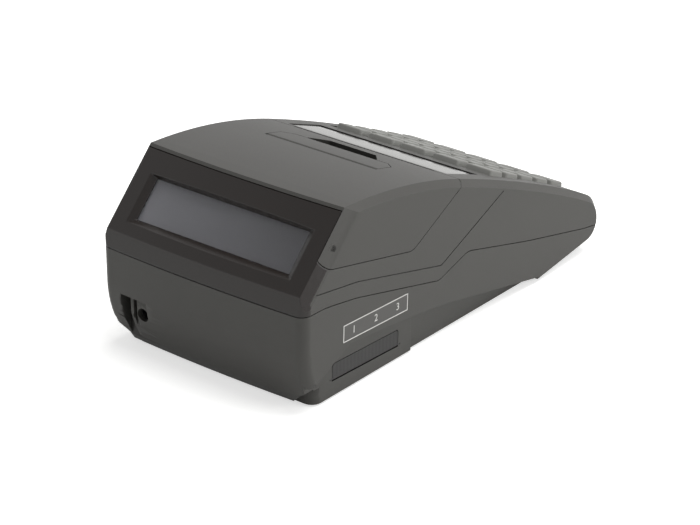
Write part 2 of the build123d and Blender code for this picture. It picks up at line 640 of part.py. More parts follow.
def customer_lens():
    return display_block(glass_size(GLASS_LEDGE - SEAT_FIT), GLASS_RUN, RECESS_DEPTH,
                         RECESS_DEPTH + GLASS_WALL)


def customer_lcd():
    near = RECESS_DEPTH + GLASS_WALL
    return display_block(glass_size(GLASS_LEDGE - 2 * SEAT_FIT), GLASS_RUN, near, near + CUSTOMER_LCD_DEPTH)


def cover_pins():
    """Two dowels, pressed into the bezel's flanges, that the cover's arms turn on."""
    start = BEZEL_HALF - FLANGE_WALL
    end = BEZEL_HALF + LOOSE_FIT + HINGE_PIN_HOLE - SEAT_FIT
    return Part() + [across(Pos(*HINGE) * Circle(HINGE_PIN_RADIUS), *sorted((hand * start, hand * end)))
                     for hand in (-1, 1)]


# ================================================================ paper cover and lever
def lever_outline(gap=0.0):
    """Plan of the cover lever, seen from above."""
    face = polygon((-LEVER_HALF, LEVER_REAR), (LEVER_HALF, LEVER_REAR), (LEVER_HALF, LEVER_WAIST),
                   (LEVER_FRONT_HALF, LEVER_FRONT), (-LEVER_FRONT_HALF, LEVER_FRONT),
                   (-LEVER_HALF, LEVER_WAIST))
    return offset(face, amount=gap, kind=Kind.INTERSECTION) if gap else face


def scoop_outline(gap=0.0):
    """Plan of the finger scoop ahead of the lever."""
    rear, corner = LEVER_FRONT + 2 * SCOOP_CORNER, LEVER_FRONT - SCOOP_CORNER
    face = polygon((-SCOOP_HALF, rear), (SCOOP_HALF, rear), (SCOOP_HALF, corner),
                   (SCOOP_FRONT_HALF, SCOOP_FRONT), (-SCOOP_FRONT_HALF, SCOOP_FRONT), (-SCOOP_HALF, corner))
    return offset(face, amount=gap, kind=Kind.INTERSECTION) if gap else face


def cover_lever():
    """Release lever: a plate that follows the cover's top, rolled into a barrel at its rear edge."""
    y, z = LEVER_AXIS
    plate = (upright(lever_outline()) & top_solid(0, SIDE)) - top_solid(LEVER_WALL, SIDE)
    plate -= across(polygon((y, 0), (REAR, 0), (REAR, 2 * HEIGHT), (y, 2 * HEIGHT)))
    barrel = across(Pos(y, z) * Circle(LEVER_WALL), -LEVER_HALF, LEVER_HALF)
    bore = across(Pos(y, z) * Circle(LEVER_PIN_RADIUS + RUN_FIT))
    return plate + barrel - bore


def lever_pin():
    tip = LEVER_HALF + COVER_GAP + LEVER_PIN_SEAT
    return across(Pos(*LEVER_AXIS) * Circle(LEVER_PIN_RADIUS), -tip, tip)


def paper_cover():
    """Hinged cover: top and side walls in one, the lever's well, and ribs that carry the platen."""
    cover = (housing(0) - housing(WALL, SIDE - ARM_WALL)) & cover_space()
    cover -= display_slab(2 * WALL, BEZEL_HALF + LOOSE_FIT) & top_solid(COVER_LIP, SIDE)
    wells = upright(lever_outline(WELL_WALL + COVER_GAP)) + upright(scoop_outline(WELL_WALL))
    cover += (wells & top_solid(WALL / 2, SIDE)) - top_solid(WELL_DEPTH + WELL_WALL, SIDE)
    hollow = upright(lever_outline(COVER_GAP)) + upright(scoop_outline())
    cover -= hollow - top_solid(WELL_DEPTH, SIDE)
    y, z = PLATEN_CENTRE
    half, cut = HANGER_HALF, HANGER_HALF / 2
    hanger = polygon((y - half, z - cut), (y - cut, z - half), (y + cut, z - half), (y + half, z - cut),
                     (y + half, 2 * HEIGHT), (y - half, 2 * HEIGHT))
    for hand in (-1, 1):
        reach = sorted((hand * HANGER_INNER, hand * (HANGER_INNER + HANGER_WALL)))
        cover += across(hanger, *reach) & top_solid(WALL / 2, SIDE)
    cover -= across(Pos(y, z) * Circle(SHAFT_RADIUS + RUN_FIT))
    cover -= lever_pin()
    hole = BEZEL_HALF + LOOSE_FIT + HINGE_PIN_HOLE
    return cover - across(Pos(*HINGE) * Circle(HINGE_PIN_RADIUS + RUN_FIT), -hole, hole)


# ================================================================ printer
def gear_face(teeth, bore=0.0, turn=0.0):
    """A spur gear with straight-sided teeth; turn in degrees brings a tooth to that direction."""
    pitch = teeth * GEAR_MODULE / 2
    tip, root = pitch + GEAR_MODULE * 0.9, pitch - GEAR_MODULE * 1.15
    step = 360.0 / teeth
    points = []
    for tooth in range(teeth):
        for radius, share in ((root, -0.33), (tip, -0.12), (tip, 0.12), (root, 0.33)):
            points.append(polar((0, 0), radius, turn + (tooth + share) * step))
    face = polygon(*points)
    return face - Circle(bore) if bore else face


def platen_shaft():
    return across(Pos(*PLATEN_CENTRE) * Circle(SHAFT_RADIUS), -SHAFT_HALF, SHAFT_HALF)


def platen_rubber():
    ring = Circle(PLATEN_RADIUS) - Circle(SHAFT_RADIUS)
    half = ROLL_WIDTH / 2 - PLATEN_MARGIN
    return across(Pos(*PLATEN_CENTRE) * ring, -half, half)


def platen_gear():
    face = gear_face(PLATEN_TEETH, SHAFT_RADIUS, IDLER_BEARING)
    return across(Pos(*PLATEN_CENTRE) * face, GEAR_X, GEAR_X + GEAR_WIDTH)


def idler_turn():
    """Direction of one of the idler's teeth: a gap of it faces the platen's tooth."""
    return IDLER_BEARING + 180.0 + 180.0 / IDLER_TEETH


def idler_gear():
    face = gear_face(IDLER_TEETH, STUD_RADIUS + RUN_FIT, idler_turn())
    return across(Pos(*IDLER_CENTRE) * face, GEAR_X, GEAR_X + GEAR_WIDTH)


def motor_gear():
    """Pinion on its shaft, turned so that its teeth fill the idler's gaps."""
    rise, run = MOTOR_CENTRE[1] - IDLER_CENTRE[1], MOTOR_CENTRE[0] - IDLER_CENTRE[0]
    bearing = degrees(atan2(rise, run))
    phase = ((bearing - idler_turn()) * IDLER_TEETH / 360.0) % 1.0
    turn = bearing + 180.0 + (0.5 + phase) * 360.0 / MOTOR_TEETH
    pinion = across(Pos(*MOTOR_CENTRE) * gear_face(MOTOR_TEETH, turn=turn), GEAR_X, GEAR_X + GEAR_WIDTH)
    shaft = across(Pos(*MOTOR_CENTRE) * Circle(MOTOR_SHAFT_RADIUS), CHEEK_INNER - MOTOR_LENGTH / 2, GEAR_X)
    return pinion + shaft


def stepper_motor():
    """Square stepper motor with cut corners, on the inner face of the frame's side plate."""
    shape = Rectangle(2 * MOTOR_HALF, 2 * MOTOR_HALF)
    shape = chamfer(shape.vertices(), MOTOR_CORNER)
    body = across(Pos(*MOTOR_CENTRE) * shape, CHEEK_INNER - MOTOR_LENGTH, CHEEK_INNER)
    bore = Pos(*MOTOR_CENTRE) * Circle(MOTOR_SHAFT_RADIUS + RUN_FIT)
    return body - across(bore, CHEEK_INNER - MOTOR_LENGTH / 2 - LOOSE_FIT)


def head_plane():
    """Plane of the print head's face: Z points at the platen, Y up along the head."""
    y, z = polar(PLATEN_CENTRE, PLATEN_RADIUS + LOOSE_FIT, HEAD_BEARING)
    out = Vector(0, -cos(radians(HEAD_BEARING)), -sin(radians(HEAD_BEARING)))
    return Plane(origin=(0, y, z), x_dir=(1, 0, 0), z_dir=out)


def head_pivot():
    """Middle of the print head's pin, in Y and Z."""
    at = head_plane().from_local_coords(Vector(0, HEAD_HALF, -HEAD_WALL))
    return (at.Y, at.Z)


def print_head():
    half = ROLL_WIDTH / 2 + HEAD_MARGIN
    plate = head_plane() * Pos(0, 0, -HEAD_WALL / 2) * Box(2 * half, 2 * HEAD_HALF, HEAD_WALL)
    barrel = across(Pos(*head_pivot()) * Circle(HEAD_PIN_RADIUS + HEAD_BARREL), -half, half)
    return plate + barrel - across(Pos(*head_pivot()) * Circle(HEAD_PIN_RADIUS + RUN_FIT))


def head_pin():
    reach = CHEEK_INNER + CHEEK_WALL
    return across(Pos(*head_pivot()) * Circle(HEAD_PIN_RADIUS), -reach, reach)


def head_spring():
    """Leaf spring on the frame's cross wall; its bent tip waits just behind the head."""
    rear = PLATEN_Y - CROSS_WALL_REACH
    foot, bend, tip = [TUB_FLOOR + step for step in SPRING_STEPS]
    lean = rear + SPRING_LEAN
    face = polygon((rear, foot), (rear, bend), (lean, tip), (lean + SPRING_WALL, tip),
                   (rear + SPRING_WALL, bend - SPRING_WALL / 2), (rear + SPRING_WALL, foot))
    return across(face, -SPRING_HALF, SPRING_HALF)


def frame_cheek():
    """Outline of a side plate, with the open slot that the platen shaft drops into."""
    y, z = PLATEN_CENTRE
    front, rear = TUB_FRONT + FRAME_MARGIN[0], TUB_REAR - FRAME_MARGIN[1]
    slot_front, slot_rear = y - SHAFT_RADIUS - BEARING_MARGIN[0], y + SHAFT_RADIUS + BEARING_MARGIN[1]
    slot_foot = z - SHAFT_RADIUS - BEARING_MARGIN[1]
    crown = z + PLATEN_RADIUS
    low = z - CHEEK_LOW[1]
    return polygon((front, TUB_FLOOR), (rear, TUB_FLOOR), (rear, crown), (slot_rear, crown),
                   (slot_rear, slot_foot),
                   (slot_front, slot_foot), (slot_front, crown), (y - CHEEK_NECK, crown),
                   (y - CHEEK_NECK, low + PLATEN_RADIUS), (y - CHEEK_LOW[0], low), (front, low))


def printer_frame():
    """Folded steel frame: two side plates, a floor and a cross wall."""
    half = CHEEK_INNER + CHEEK_WALL
    front, rear = TUB_FRONT + FRAME_MARGIN[0], TUB_REAR - FRAME_MARGIN[1]
    frame = across(frame_cheek(), CHEEK_INNER, half) + across(frame_cheek(), -half, -CHEEK_INNER)
    floor = block(-half, half, front, rear, TUB_FLOOR, TUB_FLOOR + CHEEK_WALL)
    reach = MOTOR_HALF + FUSE
    floor -= block(CHEEK_INNER - MOTOR_LENGTH - FUSE, CHEEK_INNER, MOTOR_CENTRE[0] - reach,
                   MOTOR_CENTRE[0] + reach,
                   TUB_FLOOR - FUSE, TUB_FLOOR + CHEEK_WALL + FUSE)
    wall_rear = PLATEN_Y - CROSS_WALL_REACH
    frame += floor + block(-half, half, wall_rear - CROSS_WALL, wall_rear, TUB_FLOOR,
                           TUB_FLOOR + CROSS_HEIGHT)
    frame += across(Pos(*IDLER_CENTRE) * Circle(STUD_RADIUS), CHEEK_INNER, GEAR_X + GEAR_WIDTH + STUD_END)
    hole = 2 * (MOTOR_SHAFT_RADIUS + FUSE)
    frame -= across(Pos(*MOTOR_CENTRE) * Rectangle(hole, hole), CHEEK_INNER - RUN_FIT)
    return frame - across(Pos(*head_pivot()) * Circle(HEAD_PIN_RADIUS))


def tear_bar():
    """Serrated steel blade on the front edge of the paper slot."""
    top = SLOT_TOP - BLADE_SINK
    foot = top - BLADE_HEIGHT
    count = int(2 * SLOT_HALF / TOOTH_PITCH)
    start = -count * TOOTH_PITCH / 2
    points = [(start, foot)]
    for tooth in range(count):
        x = start + tooth * TOOTH_PITCH
        points += [(x, top - TOOTH_HEIGHT), (x + TOOTH_PITCH / 2, top)]
    points += [(-start, top - TOOTH_HEIGHT), (-start, foot)]
    return extrude(Plane.XZ.offset(-SLOT_FRONT) * polygon(*points), amount=-BLADE_WALL)


def paper_tube(outer, outer_sides, inner):
    """A tube of wound paper or card, drawn with flat sides."""
    ring = RegularPolygon(outer, outer_sides) - RegularPolygon(inner, CORE_SIDES)
    return across(Pos(*ROLL_CENTRE) * ring, -ROLL_WIDTH / 2, ROLL_WIDTH / 2)


def paper_roll():
    return paper_tube(ROLL_RADIUS, ROLL_SIDES, CORE_RADIUS)


def paper_core():
    return paper_tube(CORE_RADIUS, CORE_SIDES, CORE_RADIUS - CORE_WALL)


# ================================================================ keypad
def keypad_plane(rise=0.0):
    """Plane of the keypad floor, on the chord of the top line: local Y runs up the slope, Z out."""
    half = KEYPAD_FIELD[1] * cos(radians(KEYPAD_SLOPE)) / 2
    middle = NOSE + NOSE_REACH + half
    front, rear = top_height(middle - half), top_height(middle + half)
    slope = atan2(rear - front, 2 * half)
    out = Vector(0, -sin(slope), cos(slope))
    return Plane(origin=Vector(0, middle, (front + rear) / 2) + out * (rise - KEYPAD_SINK),
                 x_dir=(1, 0, 0), z_dir=out)


def key_place(row, column):
    """Middle of a key in the keypad plane; row 1 is nearest to the window."""
    x = (column - (KEY_COLUMNS + 1) / 2) * KEY_PITCH[0]
    y = ((KEY_ROWS + 1) / 2 - row) * KEY_PITCH[1]
    return Pos(x, y, 0)


def keypad_key(row, column):
    """Key cap with a bevelled top and a flange that holds it under the floor."""
    cap = Pos(0, 0, -KEY_SKIRT) * extrude(Rectangle(*KEY_SIZE), KEY_PROUD + KEY_SKIRT)
    cap = chamfer(cap.faces().sort_by(Axis.Z)[-1].edges(), KEY_CHAMFER)
    flange = extrude(Rectangle(KEY_SIZE[0] + 2 * KEY_FLANGE, KEY_SIZE[1] + 2 * KEY_FLANGE), KEY_FLANGE_WALL)
    return keypad_plane() * key_place(row, column) * (cap + Pos(0, 0, -KEY_SKIRT) * flange)


def keypad_mat():
    width = KEYPAD_FIELD[0] - 2 * BOARD_INSET
    return keypad_plane(-MAT_DROP - MAT_WALL) * extrude(Rectangle(width,
                                                                  KEYPAD_FIELD[1] - 2 * MAT_INSET), MAT_WALL)


def keypad_spots(depth):
    """Places of the keypad's screws, at a depth under the keypad floor."""
    return [keypad_plane(-depth) * Pos(hand * x, y, 0) for hand in (-1, 1) for x, y in KEYPAD_POSTS]


def keypad_board():
    drop = MAT_DROP + MAT_WALL + BOARD_WALL
    size = (KEYPAD_FIELD[0] - 2 * BOARD_INSET, KEYPAD_FIELD[1] + 2 * BOARD_REACH)
    board = keypad_plane(-drop) * extrude(Rectangle(*size), BOARD_WALL)
    return board - [place * prism(SCREW_RADIUS, BOARD_WALL) for place in keypad_spots(drop)]


# ================================================================ operator's window
def operator_window():
    return top_slice(WINDOW_SINK, WINDOW_SINK + WINDOW_WALL, WINDOW_HALF - SEAT_FIT, WINDOW_FRONT + SEAT_FIT,
                     WINDOW_REAR - SEAT_FIT)


def window_plane(drop=0.0):
    """Plane under the operator's window: local Y runs up the slope, Z outwards."""
    y = (WINDOW_FRONT + WINDOW_REAR) / 2
    height, fall = top_point(y)
    slope = radians(fall)
    out = Vector(0, -sin(slope), cos(slope))
    return Plane(origin=Vector(0, y, height) - out * drop, x_dir=(1, 0, 0), z_dir=out)


def operator_lcd():
    x, y, z = OPERATOR_LCD_SIZE
    return window_plane(OPERATOR_LCD_DROP + z) * extrude(Rectangle(x, y), z)


# ================================================================ sockets on the side
def port_plane():
    """Plane of the port cover on the side of the foot: Z points outwards, Y up."""
    middle = (-FOOT_INSET_PORTS, (PORT_FRONT + PORT_REAR) / 2, PORT_CENTRE_HEIGHT)
    tilt = radians(PORT_TILT)
    return Plane(origin=middle, x_dir=(0, -cos(tilt), -sin(tilt)), z_dir=(-1, 0, 0))


def port_axis():
    """Place of the port cover's hinge line, along its lower edge."""
    return Pos(0, -PORT_HEIGHT / 2 + LOOSE_FIT + PORT_COVER_WALL / 2, -PORT_COVER_WALL / 2)


def port_rod(radius, length):
    """A round rod along the port cover's hinge line."""
    return port_plane() * port_axis() * Rot(0, 90, 0) * Cylinder(radius, length)


def port_flap(grow, thickness):
    """Outline of the port cover, grown all round, with both upper corners rounded."""
    width, height = PORT_LENGTH - 2 * LOOSE_FIT, PORT_HEIGHT - 2 * LOOSE_FIT
    shape = Rectangle(width + 2 * grow, height + 2 * grow)
    shape = fillet(shape.vertices().group_by(Axis.Y)[-1], PORT_CORNER)
    return port_plane().offset(-thickness) * extrude(shape, thickness)


def port_cover():
    """Hinged cover over the sockets, rolled round its hinge line, whose ends are its pins."""
    below = port_plane() * port_axis() * Box(PORT_LENGTH, PORT_HEIGHT, 2 * PORT_COVER_WALL,
                                             align=(Align.CENTER, Align.MAX, Align.CENTER))
    barrel = port_rod(PORT_COVER_WALL / 2, PORT_LENGTH + 2 * PORT_PIN_SEAT)
    return (port_flap(0, PORT_COVER_WALL) - below) + barrel


def port_opening():
    """Tool for the opening behind the port cover and the holes of its hinge pins."""
    pins = port_rod(PORT_COVER_WALL / 2 + RUN_FIT, PORT_LENGTH + 2 * (PORT_PIN_SEAT + LOOSE_FIT))
    return Pos(-FUSE / 2, 0, 0) * port_flap(LOOSE_FIT, PORT_DEPTH + FUSE / 2) + port_flap(LOOSE_FIT,
                                                                                          PORT_DEPTH) + pins


def label_plane():
    """Plane of the label on the side wall above the sockets."""
    middle = (PORT_FRONT + PORT_REAR) / 2 - LABEL_AHEAD
    return Plane(origin=(-SIDE, middle, LABEL_HEIGHT), x_dir=port_plane().x_dir, z_dir=(-1, 0, 0))


def label_shape(grow, reach):
    """The label grown all round, from its seat outwards by reach."""
    size = (LABEL_SIZE[0] + 2 * grow, LABEL_SIZE[1] + 2 * grow)
    return label_plane().offset(-LABEL_WALL) * extrude(Rectangle(*size), reach)


def port_label():
    return label_shape(0, LABEL_WALL)


def port_sockets():
    """Four data sockets in a row on the main board, with their mouths behind the port cover."""
    depth, width, height = SOCKET_SIZE
    middle = (PORT_FRONT + PORT_REAR) / 2
    low = MAIN_BOARD_HEIGHT + BOARD_WALL
    left = -FOOT_INSET_PORTS + SOCKET_SETBACK
    sockets = []
    for index in range(SOCKET_COUNT):
        y = middle + (index - (SOCKET_COUNT - 1) / 2) * SOCKET_PITCH
        body = block(left, left + depth, y - width / 2, y + width / 2, low, low + height)
        inner = width / 2 - SOCKET_WALL
        sockets.append(body - block(left - FUSE, left + depth - SOCKET_BACK, y - inner, y + inner,
                                    low + SOCKET_WALL, low + height - SOCKET_WALL))
    return Part() + sockets


# ================================================================ lower shell
def foot_space(grow=0.0):
    """The space cut away under the side arches, grown into the housing by grow."""
    below = [(ARCH[-1][0], -BEYOND), (ARCH[0][0], -BEYOND)]
    if grow:
        arch = across(outline([(y, z + grow * FOOT_LIFT) for y, z in ARCH] + below))
    else:
        arch = across(outline(ARCH + below, ARCH_RADII))
    wide, narrow = FOOT_INSET_PORTS - grow, FOOT_INSET_FRONT - grow
    side_cuts = []
    for hand in (-1, 1):
        side_cuts.append(block(*sorted((hand * wide, hand * (wide + BEYOND))), 2 * NOSE, 2 * REAR,
                               -BEYOND, BEYOND))
        side_cuts.append(block(*sorted((hand * narrow, hand * (narrow + BEYOND))), 2 * NOSE,
                               PORT_BAY_FRONT - grow,
                               -BEYOND, BEYOND))
    heels = []
    for hand in (-1, 1):
        face = polygon(*[(hand * (SIDE - inset), z) for inset, z in HEEL])
        run = extrude(Plane.XZ.offset(-REAR - BEYOND) * face, amount=REAR + BEYOND - FOOT_REAR + grow)
        heels.append(run + Pos(0, 0, grow) * run if grow else run)
    return (arch & (Part() + side_cuts)) + heels


def screw_place(spot, hand, height=0.0):
    return Pos(hand * spot[0], spot[1], height)


def mirrored(spots):
    """Each spot on both sides of the housing."""
    return [(spot, hand) for spot in spots for hand in (-1, 1)]


def bay_top():
    """Height of the battery bay's ceiling."""
    return BOTTOM + DOOR_WALL + LOOSE_FIT + BATTERY_SIZE[2]


def door_reach():
    """Front and rear edge of the battery door."""
    half = BATTERY_SIZE[1] / 2 + DOOR_MARGIN
    return BATTERY_CENTRE - half, BATTERY_CENTRE + half


def battery_bay(grow, low, high):
    """A block round the battery, grown sideways."""
    x, y = BATTERY_SIZE[0] / 2 + grow, BATTERY_SIZE[1] / 2 + grow
    return block(-x, x, BATTERY_CENTRE - y, BATTERY_CENTRE + y, low, high)


def door_pocket(grow, low, high):
    """A block round the battery door and its travel, grown sideways."""
    front, rear = door_reach()
    half = BATTERY_SIZE[0] / 2 + DOOR_MARGIN + grow
    return block(-half, half, front - DOOR_TRAVEL - grow, rear + grow, low, high)


def rear_pocket(left, right, depth):
    """A cut into the rear wall, open at the bottom, as tall as the jack's recess."""
    return block(left, right, REAR - depth, REAR + FUSE, JACK_RECESS_FOOT, JACK_RECESS_TOP)


def jack_plane(depth):
    """Plane across the power jack, at a depth behind the rear wall: Z points outwards."""
    return Plane(origin=(JACK_CENTRE[0], REAR - depth, JACK_CENTRE[1]), x_dir=(-1, 0, 0), z_dir=(0, 1, 0))


def jack_recess():
    """Tool for the stepped recess, its two deep slots, and the hole and the seat of the power jack."""
    width, height, _ = JACK_BODY
    tool = rear_pocket(JACK_RECESS_LEFT, JACK_RECESS_RIGHT, JACK_RECESS_DEPTH)
    tool += rear_pocket(JACK_SLOT_LEFT, JACK_RIB_LEFT, JACK_SLOT_DEPTH)
    tool += rear_pocket(JACK_RIB_RIGHT, JACK_RECESS_RIGHT, JACK_WELL_DEPTH)
    tool += extrude(jack_plane(JACK_FACE) * Circle(JACK_RADIUS), amount=JACK_FACE)
    seat = Rectangle(width + 2 * SEAT_FIT, height + 2 * SEAT_FIT)
    return tool + extrude(jack_plane(JACK_FACE) * seat, amount=-BEYOND)


def jack_housing():
    """The block behind the recess in the rear wall."""
    side, depth, roof = JACK_BLOCK
    solid = block(JACK_RECESS_LEFT - side, JACK_RECESS_RIGHT + side, REAR - depth, REAR, BOTTOM,
                  JACK_RECESS_TOP + roof)
    return solid & housing(SEAT_FIT)


def base_shell():
    """Lower shell: outer wall, inset foot, tongue, battery bay, jack recess and posts."""
    low = housing(0) - above(SEAM, SEAM_RADII, -SHADOW_GAP)
    cavity = housing(WALL) - foot_space(WALL)
    tongue = (housing(LIP_WALL + LIP_FIT) - above(SEAM, (), LIP_HEIGHT)) & above(SEAM, (), -LIP_HEIGHT)
    base = (low - foot_space()) + tongue - cavity
    core = housing(WALL / 2)
    base += battery_bay(BAY_WALL + LOOSE_FIT, BOTTOM, bay_top() + BAY_ROOF) & core
    base += door_pocket(BAY_WALL + LOOSE_FIT, BOTTOM, BOTTOM + 2 * DOOR_WALL) & core
    base -= door_pocket(LOOSE_FIT, 0, BOTTOM + DOOR_WALL)
    base -= battery_bay(LOOSE_FIT, 0, bay_top())
    base -= port_opening()
    base -= label_shape(SEAT_FIT, 2 * FUSE)
    base += jack_housing()
    base -= jack_recess()
    floor = BOTTOM + WALL - FUSE
    for spot, hand in mirrored(BOARD_POSTS):
        post = prism(POST_RADIUS, MAIN_BOARD_HEIGHT - floor) - prism(SCREW_RADIUS, MAIN_BOARD_HEIGHT - floor)
        base += screw_place(spot, hand, floor) * post
    for spot, hand in mirrored(SHELL_SCREWS):
        base += screw_place(spot, hand, floor) * prism(POST_RADIUS, SHELL_JOINT - floor)
        base -= screw_place(spot, hand) * prism(SCREW_RADIUS + SCREW_HOLE_FIT, SHELL_JOINT + FUSE)
        base -= screw_place(spot, hand) * prism(SCREW_HEAD_RADIUS + HEAD_HOLE_FIT, BOTTOM + SHELL_SCREW_SEAT)
    for spot, hand in mirrored(FEET):
        base -= screw_place(spot, hand) * prism(FOOT_RADIUS, BOTTOM + FOOT_SINK, FOOT_SIDES)
    return base


def battery_door():
    front, rear = door_reach()
    half = BATTERY_SIZE[0] / 2 + DOOR_MARGIN
    return block(-half, half, front, rear, BOTTOM, BOTTOM + DOOR_WALL - LOOSE_FIT / 2)


def battery_pack():
    return battery_bay(0, bay_top() - BATTERY_SIZE[2], bay_top())


def dc_jack():
    """Power jack: a block with a round bore and a centre pin."""
    width, height, depth = JACK_BODY
    body = extrude(jack_plane(JACK_FACE) * Rectangle(width, height), amount=-depth)
    body -= extrude(jack_plane(JACK_FACE) * Circle(JACK_BORE), amount=JACK_BACK - depth)
    return body + extrude(jack_plane(JACK_FACE + JACK_PIN_SETBACK) * Circle(JACK_PIN),
                          amount=-depth / 2 - JACK_BACK)


def rubber_feet():
    return Part() + [screw_place(spot, hand) * prism(FOOT_RADIUS, FOOT_HEIGHT + FOOT_SINK, FOOT_SIDES)
                     for spot, hand in mirrored(FEET)]


def main_board():
    """Main circuit board, with a tongue that carries the sockets."""
    high = MAIN_BOARD_HEIGHT + BOARD_WALL
    board = block(-MAIN_BOARD_HALF, MAIN_BOARD_HALF, MAIN_BOARD_FRONT, MAIN_BOARD_REAR,
                  MAIN_BOARD_HEIGHT, high)
    board += block(-FOOT_INSET_PORTS + SOCKET_SETBACK + FUSE, 0, PORT_FRONT, PORT_REAR,
                   MAIN_BOARD_HEIGHT, high)
    return board - [screw_place(spot, hand) * prism(SCREW_RADIUS, 2 * MAIN_BOARD_HEIGHT)
                    for spot, hand in mirrored(BOARD_POSTS)]


# ================================================================ upper shell
def paper_trough(wall):
    """The round bay of the paper roll, with its wall or without."""
    half = ROLL_WIDTH / 2 + TROUGH_FIT + wall
    return across(Pos(*ROLL_CENTRE) * Circle(ROLL_RADIUS + TROUGH_FIT + wall), -half, half)


def tub(wall, floor_wall):
    """The printer's tub, with its walls or without."""
    half = TUB_HALF + wall
    return block(-half, half, TUB_FRONT - wall, TUB_REAR + wall, TUB_FLOOR - floor_wall, TUB_FLOOR + HEIGHT)


def groove_tool():
    """A thin line along both side walls."""
    line = FilletPolyline(*GROOVE, radius=GROOVE_RADII)
    middle = across(Rectangle(4 * LENGTH, 4 * HEIGHT), -SIDE + GROOVE_DEPTH, SIDE - GROOVE_DEPTH)
    return across(trace(line, GROOVE_WIDTH)) - middle


def display_screen(deck_space):
    """Plate under the space of the customer display: it joins the deck, both side walls and the rear posts."""
    plate = display_slab(DISPLAY_ROOM + SCREEN_WALL, SIDE, DISPLAY_ROOM) & housing(WALL - LIP_FIT)
    narrow = display_slab(DISPLAY_ROOM + SCREEN_WALL, SIDE - DISPLAY_MARGIN + SCREEN_WALL)
    under_cover = plate & narrow & top_solid(WALL + DECK_WALL, SIDE) & deck_space
    return under_cover + ((plate & above(SEAM, (), LIP_HEIGHT + LIP_FIT + LOOSE_FIT)) - deck_space)


def inner_deck():
    """Walls under the paper cover: the deck, the paper trough, the printer tub and the display screen."""
    moving = cover_space(COVER_GAP)
    core = housing(WALL - LIP_FIT)
    deck_space = cover_space(COVER_GAP + DECK_WALL)
    deck = (deck_space - moving) & core
    deck -= display_slab(DISPLAY_ROOM, SIDE - DISPLAY_MARGIN)
    deck -= display_slab(FLANGE_DEPTH + LOOSE_FIT, BEZEL_HALF + LOOSE_FIT)
    deck += display_screen(deck_space)
    deck += ((paper_trough(TROUGH_WALL) + tub(TUB_WALL, TUB_FLOOR_WALL)) & core) - moving
    deck -= paper_trough(0)
    reach = SLOT_HALF + COVER_GAP
    deck -= block(-reach, reach, TUB_REAR - FRAME_MARGIN[1], TUB_REAR + 2 * FRAME_MARGIN[1],
                  PLATEN_CENTRE[1] - PLATEN_RADIUS - FUSE, 2 * HEIGHT)
    return deck - (tub(0, 0) & housing(WALL))


def paper_slot(upper):
    """Adds the rib that carries the tear bar, and widens the slot that the paper leaves by."""
    past, ahead, depth = SLOT_RIB
    rib = top_slice(WALL / 2, depth, SLOT_HALF + past, SLOT_FRONT - ahead, COVER_FRONT - COVER_GAP)
    reach = SLOT_HALF + COVER_GAP
    return (upper + rib) - block(-reach, reach, SLOT_FRONT, SLOT_FRONT + 2 * ahead, SLOT_TOP - SLOT_CUT,
                                 2 * HEIGHT)


def window_seat(upper):
    """Adds the collar over the display module, and cuts the window's seat and its opening."""
    x, y, _ = OPERATOR_LCD_SIZE
    rim = 2 * OPERATOR_LCD_RIM
    collar = window_plane(OPERATOR_LCD_DROP) * extrude(Rectangle(x, y), OPERATOR_LCD_DROP)
    opening = window_plane(OPERATOR_LCD_DROP + FUSE) * extrude(Rectangle(x - rim, y - rim), BEYOND)
    seat = top_slice(-FUSE, WINDOW_SINK + WINDOW_WALL, WINDOW_HALF, WINDOW_FRONT, WINDOW_REAR)
    return (upper + collar) - opening - seat


def keypad_seat(upper):
    """Adds the keypad's sunk floor and its posts, and cuts a hole for each key."""
    width, length = KEYPAD_FIELD
    plate = Rectangle(width + 2 * KEYPAD_EDGE, length + 2 * KEYPAD_EDGE)
    upper += (keypad_plane(-KEYPAD_FLOOR) * extrude(plate, 2 * KEYPAD_FLOOR)) & housing(WALL / 4)
    upper -= keypad_plane() * extrude(Rectangle(width, length), BEYOND)
    hole = extrude(Rectangle(KEY_SIZE[0] + 2 * LOOSE_FIT, KEY_SIZE[1] + 2 * LOOSE_FIT), 2 * KEYPAD_FLOOR)
    upper -= [keypad_plane(-1.5 * KEYPAD_FLOOR) * key_place(row, column) * hole
              for row in range(1, KEY_ROWS + 1) for column in range(1, KEY_COLUMNS + 1)]
    height = MAT_DROP + MAT_WALL - KEYPAD_FLOOR / 2
    post = prism(KEYPAD_POST_RADIUS, height) - prism(SCREW_RADIUS, height)
    return upper + [place * post for place in keypad_spots(MAT_DROP + MAT_WALL)]


def upper_shell():
    """Upper shell: outer wall, inner deck, paper slot, window seat, keypad and screw posts."""
    inside = housing(WALL)
    moving = cover_space(COVER_GAP)
    upper = (housing(0) - inside) & above(SEAM, SEAM_RADII)
    upper -= moving
    upper -= (housing(LIP_WALL) - above(SEAM, (), LIP_HEIGHT + LIP_FIT)) & above(SEAM, (), -LIP_HEIGHT)
    upper -= groove_tool()
    upper += inner_deck()
    upper = paper_slot(upper)
    upper = window_seat(upper)
    upper = keypad_seat(upper)
    core = housing(WALL - LIP_FIT)
    room = display_slab(DISPLAY_ROOM, SIDE - DISPLAY_MARGIN)
    for spot, hand in mirrored(SHELL_SCREWS):
        post = screw_place(spot, hand, SHELL_JOINT) * prism(POST_RADIUS, HEIGHT)
        upper += (post & core) - moving - room
        upper -= screw_place(spot, hand, SHELL_JOINT) * prism(SCREW_RADIUS, SHELL_SCREW_HOLE)
    return upper - (bezel_space() - inside)


# ================================================================ screws
def screw(length):
    """A pan-head screw standing on its head."""
    return prism(SCREW_HEAD_RADIUS, SCREW_HEAD) + prism(SCREW_RADIUS, SCREW_HEAD + length)


